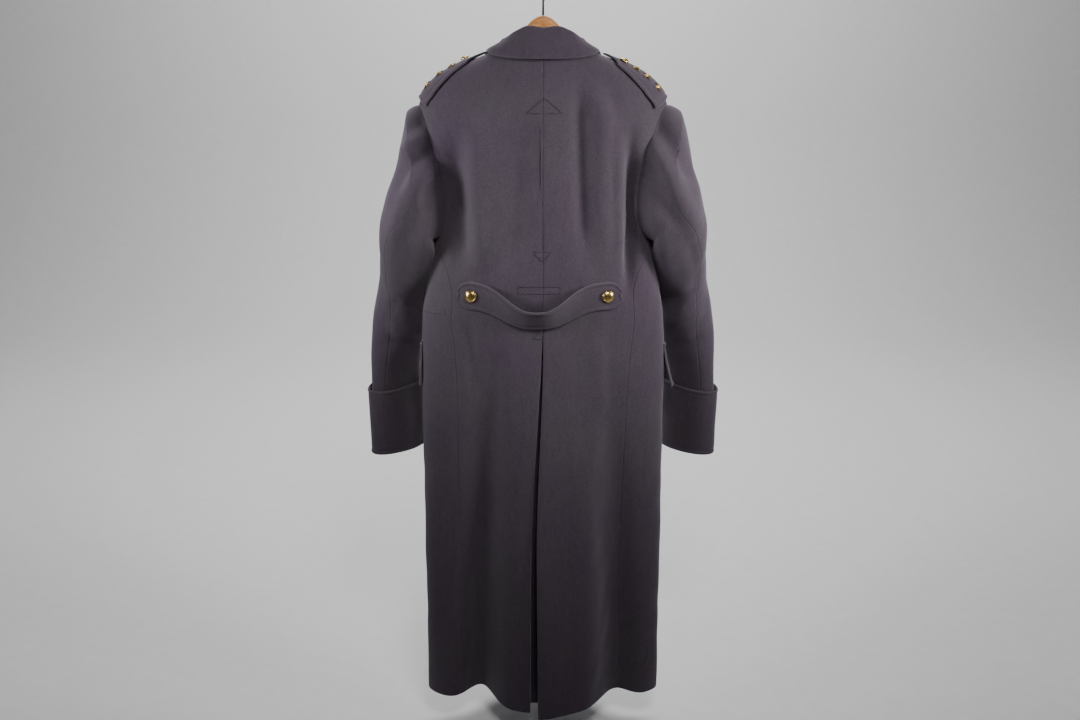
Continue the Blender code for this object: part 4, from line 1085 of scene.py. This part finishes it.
def stitch_path(points, normals):
    """A run of stitches on a line: the thread rises by a half sine over each and sinks between them."""
    run = np.concatenate(([0.0], np.cumsum(np.linalg.norm(np.diff(points, axis=0), axis=-1))))
    count = max(1, round(run[-1] / STITCH_LENGTH))
    at = np.linspace(0.0, run[-1], count * THREAD_POINTS + 1)
    place = np.stack([np.interp(at, run, points[:, k]) for k in range(3)], axis=-1)
    normal = unit(np.stack([np.interp(at, run, normals[:, k]) for k in range(3)], axis=-1))
    phase = (at / run[-1] * count) % 1.0
    rise = np.sin(math.pi * clamp(phase / STITCH_SHARE))
    lift = THREAD_RADIUS * THREAD_RISE * rise - THREAD_SINK * (1 - ramp(rise, 0.0, THREAD_DIP))
    return place + normal * lift[:, None]


def on_panel(x, z, points, normals):
    """Points of a panel under given x and z: the nearest grid point, slid along its own plane."""
    apart = (points[:, 0] - x[:, None]) ** 2 + (points[:, 2] - z[:, None]) ** 2
    nearest = np.argmin(apart, axis=1)
    near, normal = points[nearest], normals[nearest]
    slide = normal[:, 0] * (x - near[:, 0]) + normal[:, 2] * (z - near[:, 2])
    return stack(x, near[:, 1] - slide / normal[:, 1], z), normal


def make_tacks(backs, thread):
    """The sewn tacks at the centre back: runs of stitches laid on the outside of both halves."""
    points = np.concatenate([outer.reshape(-1, 3) for outer, _ in backs])
    normals = np.concatenate([normal.reshape(-1, 3) for _, normal in backs])
    outside = normals[:, 1] < TACK_FACING
    parts = []
    for tack in named(TACK_ROWS, TACK_COLUMNS):
        share = np.linspace(0.0, 1.0, TACK_POINTS)
        x = lerp(tack["x_start"], tack["x_end"], share)
        z = lerp(tack["z_start"], tack["z_end"], share)
        path = stitch_path(*on_panel(x, z, points[outside], normals[outside]))
        parts.append(tube(path, THREAD_RADIUS, THREAD_SIDES))
    counts = np.cumsum([0] + [len(vertices) for vertices, _ in parts])
    vertices = np.concatenate([vertices for vertices, _ in parts])
    faces = np.concatenate([faces + start for (_, faces), start in zip(parts, counts)])
    made = put_mesh("centre_back_tacks", vertices, faces, thread)
    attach(made, "root")


def seat(place):
    """Point of a surface function of a lift, and its outward direction."""
    point, above = place(np.array((0.0, CLOTH)))
    return point, unit(above - point)


def stand_on(points, point, outward):
    """Points turned so that their Z lies along outward, and moved to a point."""
    turn = np.array(Vector(outward).to_track_quat("Z", "Y").to_matrix())
    return points @ turn.T + point


def make_button(node, size, point, outward, gilt):
    """A domed button with a rim: its profile turned about its axis."""
    shares = np.linspace(0.0, 1.0, len(BUTTON_ROWS))
    fine = np.linspace(0.0, 1.0, BUTTON_FINE * (len(BUTTON_ROWS) - 1) + 1)[1:-1]
    across = size[0] * np.interp(fine, shares, column(BUTTON_ROWS, BUTTON_COLUMNS, "across"))[:, None]
    up = size[1] * np.interp(fine, shares, column(BUTTON_ROWS, BUTTON_COLUMNS, "up"))[:, None]
    turn = np.linspace(0.0, 2 * math.pi, BUTTON_TURNS, endpoint=False)
    points, faces = round_piece(stack(across * np.cos(turn), across * np.sin(turn), up))
    dress(put_mesh(node + "_gilt", stand_on(points, point, outward), faces, gilt), node)


def make_star(node, point, outward, bronze):
    """A plain four-pointed star: a cone on an outline that waves four times round, with a boss and wall."""
    turn = np.linspace(0.0, 2 * math.pi, PIP_TURNS, endpoint=False)
    wave = np.abs(np.cos(2 * turn)) ** PIP_SHARPNESS * (np.cos(4 * turn) + 1) / 2
    outline = PIP_RADIUS * lerp(PIP_WAIST, 1.0, wave)
    share = np.append(np.linspace(1 / PIP_RINGS, 1.0, PIP_RINGS), 1.0)[:, None]
    boss = PIP_BOSS * bell(share * outline / PIP_BOSS_RADIUS)
    top = PIP_HEIGHT * (PIP_WALL + PIP_CONE * (1 - share) + boss)
    top[-1] = 0.0
    points, faces = round_piece(stack(share * outline * np.cos(turn), share * outline * np.sin(turn), top))
    dress(put_mesh(node + "_metal", stand_on(points, point, outward), faces, bronze), node)


def strap_seat(side, share, gap):
    """Seat on top of a strap, on its middle line at a share of its length."""
    top = LAID_ON + STRAP_GAP + STRAP_CLOTH + gap
    x = lerp(STRAP_OUTER_X, STRAP_INNER_X, share)
    return seat(lambda lift: shoulder_point(side, x, -STRAP_BACK[side], top + lift))


def make_metal(gilt, bronze):
    """Buttons and stars, each seated on the cloth that carries it."""
    belt_top = BELT_CLOTH / 2 + BUTTON_GAP
    for side, sign in SIDES.items():
        button_seat = strap_seat(side, STRAP_BUTTON_SHARE, BUTTON_GAP)
        make_button("strap_button_" + side, STRAP_BUTTON, *button_seat, gilt)
        for k, share in enumerate(PIP_SHARES):
            make_star(f"rank_star_{side}_{k + 1}", *strap_seat(side, share, PIP_GAP), bronze)
        belt_seat = seat(lambda lift: belt_point(sign * BELT_BUTTON_X, 0.0, belt_top + lift))
        make_button("belt_button_" + side, BELT_BUTTON, *belt_seat, gilt)
        for k, height in enumerate(FRONT_BUTTON_HEIGHTS):
            angle = -(math.pi + sign * angle_at_x(FRONT_BUTTON_X, height))
            top = lap_out("left", angle, height) + CLOTH / 2 + FRONT_BUTTON_GAP
            front_seat = seat(lambda lift: body(angle, height, "left", top + lift))
            make_button(f"front_button_{side}_{k + 1}", FRONT_BUTTON, *front_seat, gilt)


def make_hanger_bar(wood):
    """The wooden arch: a squared ellipse carried over a hump and then just under the shoulder ridge."""
    x = np.linspace(-BAR_HALF_LENGTH, BAR_HALF_LENGTH, BAR_POINTS)
    shoulder = ridge_height(np.maximum(np.abs(x), BAR_SHOULDER_X)) - BAR_CLEAR
    hump = BAR_TOP + (shoulder - BAR_TOP) * ramp(np.abs(x), 0.0, BAR_SHOULDER_X)
    top = np.where(np.abs(x) < BAR_SHOULDER_X, hump, shoulder)
    taper = np.interp(BAR_HALF_LENGTH - np.abs(x), BAR_TAPER_PLACES, BAR_TAPER_SHARES)
    path = stack(x, 0.0, top - BAR_HALF_HEIGHT * taper)
    along = unit(np.gradient(path, axis=0))
    upward = np.cross(np.array((0.0, 1.0, 0.0)), along)
    turn = np.linspace(0.0, 2 * math.pi, BAR_SIDES, endpoint=False)
    high = BAR_HALF_HEIGHT * taper[:, None] * power(np.cos(turn), 2 / BAR_SQUARENESS)
    deep = BAR_DEPTH_SHARE * BAR_HALF_HEIGHT * taper[:, None] * power(np.sin(turn), 2 / BAR_SQUARENESS)
    points, faces = round_piece(path[:, None] + upward[:, None] * high[..., None] - stack(0.0, deep, 0.0))
    dress(put_mesh("hanger_bar_wood", points, faces, wood), "hanger_bar")


def make_hanger_hook(wire):
    """The wire hook: a tube along a shank, a bend and an arc."""
    ring = HOOK_RADIUS + HOOK_WIRE
    turns = np.radians(np.linspace(*HOOK_ARC_DEGREES, HOOK_POINTS))
    arc = stack(ring * np.cos(turns), 0.0, ring * np.sin(turns) - HOOK_RADIUS)
    shank = np.array([(0.0, 0.0, BAR_TOP + SEAM), (0.0, 0.0, HOOK_SHANK_TOP)])
    bend = lerp(shank[-1], arc[0], HOOK_BEND_SHARE) + np.array((HOOK_BEND_X, 0.0, 0.0))
    path = np.concatenate((shank, bend[None], arc))
    points, faces = tube(path, HOOK_WIRE, HOOK_SIDES)
    dress(put_mesh("hanger_hook_wire", points, faces, wire), "hanger_hook")


class Finish:
    """A material under construction: its nodes are added by type and joined by name."""

    def __init__(self, name, roughness, metallic=0.0):
        self.made = bpy.data.materials.new(name)
        self.made.use_nodes = True
        self.tree = self.made.node_tree
        self.shader = self.tree.nodes["Principled BSDF"]
        self.set(self.shader, Roughness=roughness, Metallic=metallic)

    def set(self, node, **values):
        """Sets sockets by name, with _ for a space."""
        for name, value in values.items():
            node.inputs[name.replace("_", " ")].default_value = value

    def node(self, kind, links=(), **values):
        """A new node, with some sockets joined to sources and others set to values."""
        node = self.tree.nodes.new(kind)
        self.set(node, **values)
        for socket, source in links:
            self.tree.links.new(source, node.inputs[socket])
        return node

    def join(self, source, target):
        """Joins one socket to another."""
        self.tree.links.new(source, target)

    def feed(self, target, value):
        """Joins a socket to another one, or sets it to a number or colour."""
        if hasattr(value, "node"):
            self.join(value, target)
        else:
            target.default_value = value

    def place(self, scale=(1.0, 1.0, 1.0), source="Object"):
        """A coordinate, stretched by a scale on each axis."""
        coordinate = self.node("ShaderNodeTexCoord").outputs[source]
        return self.node("ShaderNodeMapping", [("Vector", coordinate)], Scale=scale).outputs["Vector"]

    def noise(self, vector, scale, detail=3.0, rough=0.6):
        """Layered noise over a coordinate."""
        values = {"Scale": scale, "Detail": detail, "Roughness": rough}
        return self.node("ShaderNodeTexNoise", [("Vector", vector)], **values).outputs["Fac"]

    def ramp(self, source, stops):
        """Colours by value: stops are (place, colour) pairs."""
        made = self.node("ShaderNodeValToRGB", [("Fac", source)])
        colours = made.color_ramp.elements
        while len(colours) < len(stops):
            colours.new(0.5)
        for element, (place, colour) in zip(colours, stops):
            element.position = place
            element.color = (*colour, 1.0)
        return made.outputs["Color"]

    def mix(self, share, first, second, blend="MIX"):
        """Two colours blended by a share, which is a socket or a number."""
        made = self.tree.nodes.new("ShaderNodeMix")
        made.data_type = "RGBA"
        made.blend_type = blend
        for place, value in ((0, share), (6, first), (7, second)):
            self.feed(made.inputs[place], (*value, 1.0) if isinstance(value, tuple) else value)
        return made.outputs[2]

    def math(self, kind, first, second=0.5):
        """A sum, product or other calculation on two values."""
        made = self.tree.nodes.new("ShaderNodeMath")
        made.operation = kind
        for target, value in zip(made.inputs, (first, second)):
            self.feed(target, value)
        return made.outputs["Value"]

    def bump(self, height, distance, strength, below=None):
        """A normal tipped by the slope of a height, on top of another one if that is given."""
        made = self.node("ShaderNodeBump", [("Height", height)], Distance=distance, Strength=strength)
        if below is not None:
            self.join(below, made.inputs["Normal"])
        return made.outputs["Normal"]


def grey_wool():
    """Milled wool: fibres stretched down the cloth, a faint twill, soft patches, rubbed edges and specks."""
    wool = Finish("grey_wool", roughness=0.95)
    wool.set(wool.shader, Sheen_Weight=0.30, Sheen_Roughness=0.45, Sheen_Tint=(0.80, 0.72, 0.84, 1.0))
    wool.set(wool.shader, Specular_IOR_Level=0.12)
    straight = wool.place()
    hanging = wool.place((1.0, 1.0, 0.35))
    fibre = wool.noise(hanging, scale=900.0, detail=4.0, rough=0.72)
    mottle = wool.noise(hanging, scale=120.0)
    patch = wool.noise(straight, scale=7.0, rough=0.5)
    body_colour = wool.ramp(fibre, ((0.30, (0.045, 0.037, 0.047)), (0.70, (0.082, 0.067, 0.084))))
    mottled = wool.ramp(mottle, ((0.35, (0.94, 0.93, 0.94)), (0.68, (1.04, 1.04, 1.04))))
    patched = wool.ramp(patch, ((0.32, (0.96, 0.90, 1.00)), (0.68, (1.03, 1.05, 1.01))))
    colour = wool.mix(1.0, body_colour, mottled, "MULTIPLY")
    colour = wool.mix(1.0, colour, patched, "MULTIPLY")
    edge = wool.node("ShaderNodeAttribute")
    edge.attribute_name = "edge"
    near = wool.node("ShaderNodeMapRange", [("Value", edge.outputs["Fac"])], From_Min=0.0,
                     From_Max=RUBBED_WIDTH, To_Min=RUBBED_SHARE, To_Max=0.0)
    colour = wool.mix(near.outputs["Result"], colour, (0.150, 0.134, 0.150))
    cells = wool.node("ShaderNodeTexVoronoi", [("Vector", straight)], Scale=34.0)
    shade = wool.node("ShaderNodeSeparateColor", [("Color", cells.outputs["Color"])])
    rare = wool.math("GREATER_THAN", shade.outputs["Red"], SPECK_RARE)
    small = wool.math("LESS_THAN", cells.outputs["Distance"], SPECK_SIZE)
    speck = wool.math("MULTIPLY", wool.math("MULTIPLY", rare, small), SPECK_STRENGTH)
    colour = wool.mix(speck, colour, (0.36, 0.34, 0.33))
    wool.join(colour, wool.shader.inputs["Base Color"])
    cloth = wool.place(source="UV")
    twill = wool.node("ShaderNodeTexWave", [("Vector", cloth)], Scale=210.0, Distortion=1.6, Detail=2.0)
    twill.bands_direction = "DIAGONAL"
    normal = wool.bump(twill.outputs["Fac"], distance=0.00022, strength=0.35)
    normal = wool.bump(mottle, distance=0.0005, strength=0.15, below=normal)
    normal = wool.bump(fibre, distance=0.0006, strength=0.55, below=normal)
    wool.join(normal, wool.shader.inputs["Normal"])
    return wool.made


def shade_darkened_thread():
    """Sewing thread with a fine twist, in a dark grey that is partly its own colour and partly painted shade
    for the shadow along the stitch lines.
    """
    thread = Finish("shade_darkened_thread", roughness=0.8)
    twist = thread.noise(thread.place(), scale=1800.0, detail=2.0)
    # painted shade: the thread's dark grey also stands in for the shadow along the stitch lines
    thread.join(thread.ramp(twist, ((0.3, (0.016, 0.014, 0.017)), (0.7, (0.040, 0.034, 0.042)))),
                thread.shader.inputs["Base Color"])
    thread.join(thread.bump(twist, distance=0.0003, strength=0.5), thread.shader.inputs["Normal"])
    return thread.made


def metal(name, light, dark, roughness):
    """Plated metal: tarnish in soft patches, with fine scratches in its gloss and surface."""
    plate = Finish(name, roughness, metallic=1.0)
    straight = plate.place()
    patch = plate.noise(straight, scale=210.0, detail=4.0)
    scratch = plate.noise(plate.place((1.0, 1.0, 9.0)), scale=900.0, detail=2.0)
    plate.join(plate.ramp(patch, ((0.34, dark), (0.62, light))), plate.shader.inputs["Base Color"])
    gloss = plate.node("ShaderNodeMapRange", [("Value", scratch)], From_Min=0.3, From_Max=0.7,
                       To_Min=roughness * GLOSS_SPREAD[0], To_Max=roughness * GLOSS_SPREAD[1])
    plate.join(gloss.outputs["Result"], plate.shader.inputs["Roughness"])
    normal = plate.bump(scratch, distance=0.00012, strength=0.30)
    normal = plate.bump(patch, distance=0.0005, strength=0.35, below=normal)
    plate.join(normal, plate.shader.inputs["Normal"])
    return plate.made


def waxed_wood():
    """Waxed wood: grain lines stretched along the bar, with darker pores and a soft coat."""
    wood = Finish("waxed_wood", roughness=0.42)
    wood.set(wood.shader, Coat_Weight=0.35, Coat_Roughness=0.25)
    grain = wood.noise(wood.place((3.0, 60.0, 60.0)), scale=4.0, detail=6.0, rough=0.65)
    pores = wood.noise(wood.place((20.0, 240.0, 240.0)), scale=6.0)
    tones = ((0.30, (0.40, 0.150, 0.035)), (0.52, (0.62, 0.27, 0.075)), (0.72, (0.74, 0.37, 0.12)))
    pore_tones = ((0.34, (0.60, 0.52, 0.45)), (0.50, (1.0, 1.0, 1.0)))
    colour = wood.mix(1.0, wood.ramp(grain, tones), wood.ramp(pores, pore_tones), "MULTIPLY")
    wood.join(colour, wood.shader.inputs["Base Color"])
    wood.join(wood.bump(pores, distance=0.0004, strength=0.30), wood.shader.inputs["Normal"])
    return wood.made


def pale_paper():
    """The stage: pale paper with a hardly visible tooth."""
    paper = Finish("pale_paper", roughness=0.9)
    tooth = paper.noise(paper.place(), scale=30.0)
    paper.join(paper.ramp(tooth, ((0.3, (0.86, 0.86, 0.88)), (0.7, (0.90, 0.90, 0.91)))),
               paper.shader.inputs["Base Color"])
    return paper.made


def make_stage(paper):
    """The floor and the wall behind it in one sheet: a level run, a quarter circle and a straight rise."""
    turn = np.linspace(0.0, math.pi / 2, COVE_POINTS)
    bend_y = COVE_BACK + COVE_RADIUS * np.sin(turn)
    bend_z = FLOOR_HEIGHT + COVE_RADIUS * (1 - np.cos(turn))
    floor_y = np.linspace(COVE_FRONT, COVE_BACK, COVE_LINES)[:-1]
    y = np.concatenate((floor_y, bend_y, bend_y[-1:]))
    z = np.concatenate((np.full_like(floor_y, FLOOR_HEIGHT), bend_z, [COVE_TOP]))
    x = np.linspace(-COVE_HALF_WIDTH, COVE_HALF_WIDTH, COVE_LINES)
    points = stack(x[None, :], y[:, None], z[:, None])
    index = np.arange(points.shape[0] * points.shape[1]).reshape(points.shape[:2])
    put_mesh("pale_cove", points.reshape(-1, 3), quads(index, False), paper)


def make_lights():
    """Soft square lights from the table, and an even pale surround."""
    for light in named(LIGHT_ROWS, LIGHT_COLUMNS):
        lamp = bpy.data.lights.new(light["name"], "AREA")
        lamp.size = light["size"]
        lamp.spread = math.radians(light["spread"])
        lamp.energy = light["power"]
        lamp.color = light["colour"]
        made = bpy.data.objects.new(light["name"], lamp)
        made.location = light["place"]
        towards = Vector(light["aim"]) - Vector(light["place"])
        made.rotation_euler = towards.to_track_quat("-Z", "Y").to_euler()
        bpy.context.scene.collection.objects.link(made)
    world = bpy.data.worlds.new("pale_surround")
    world.use_nodes = True
    surround = world.node_tree.nodes["Background"]
    surround.inputs["Color"].default_value = (*WORLD_COLOUR, 1.0)
    surround.inputs["Strength"].default_value = WORLD_STRENGTH
    bpy.context.scene.world = world


def make_camera():
    """The photograph's view: behind the coat, a little above its middle, looking down."""
    lens = bpy.data.cameras.new("camera")
    lens.lens = EYE_LENS
    lens.sensor_width = EYE_SENSOR
    made = bpy.data.objects.new("camera", lens)
    made.location = EYE
    made.rotation_euler = (EYE_TILT, 0.0, 0.0)
    bpy.context.scene.collection.objects.link(made)
    bpy.context.scene.camera = made


def main():
    """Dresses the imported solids."""
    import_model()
    make_camera()
    make_lights()
    make_stage(pale_paper())
    wool = grey_wool()
    backs = make_backs(wool)
    make_fronts(wool)
    make_sleeves(wool)
    make_collar(wool)
    make_straps(wool)
    make_belt(wool)
    make_pockets(wool)
    # the tacks' thread is darkened with painted shade for the shadow along their stitch lines
    make_tacks(backs, shade_darkened_thread())
    gilt, bronze, wire = [metal(**row) for row in named(METAL_ROWS, METAL_COLUMNS)]
    make_metal(gilt, bronze)
    make_hanger_bar(waxed_wood())
    make_hanger_hook(wire)


main()
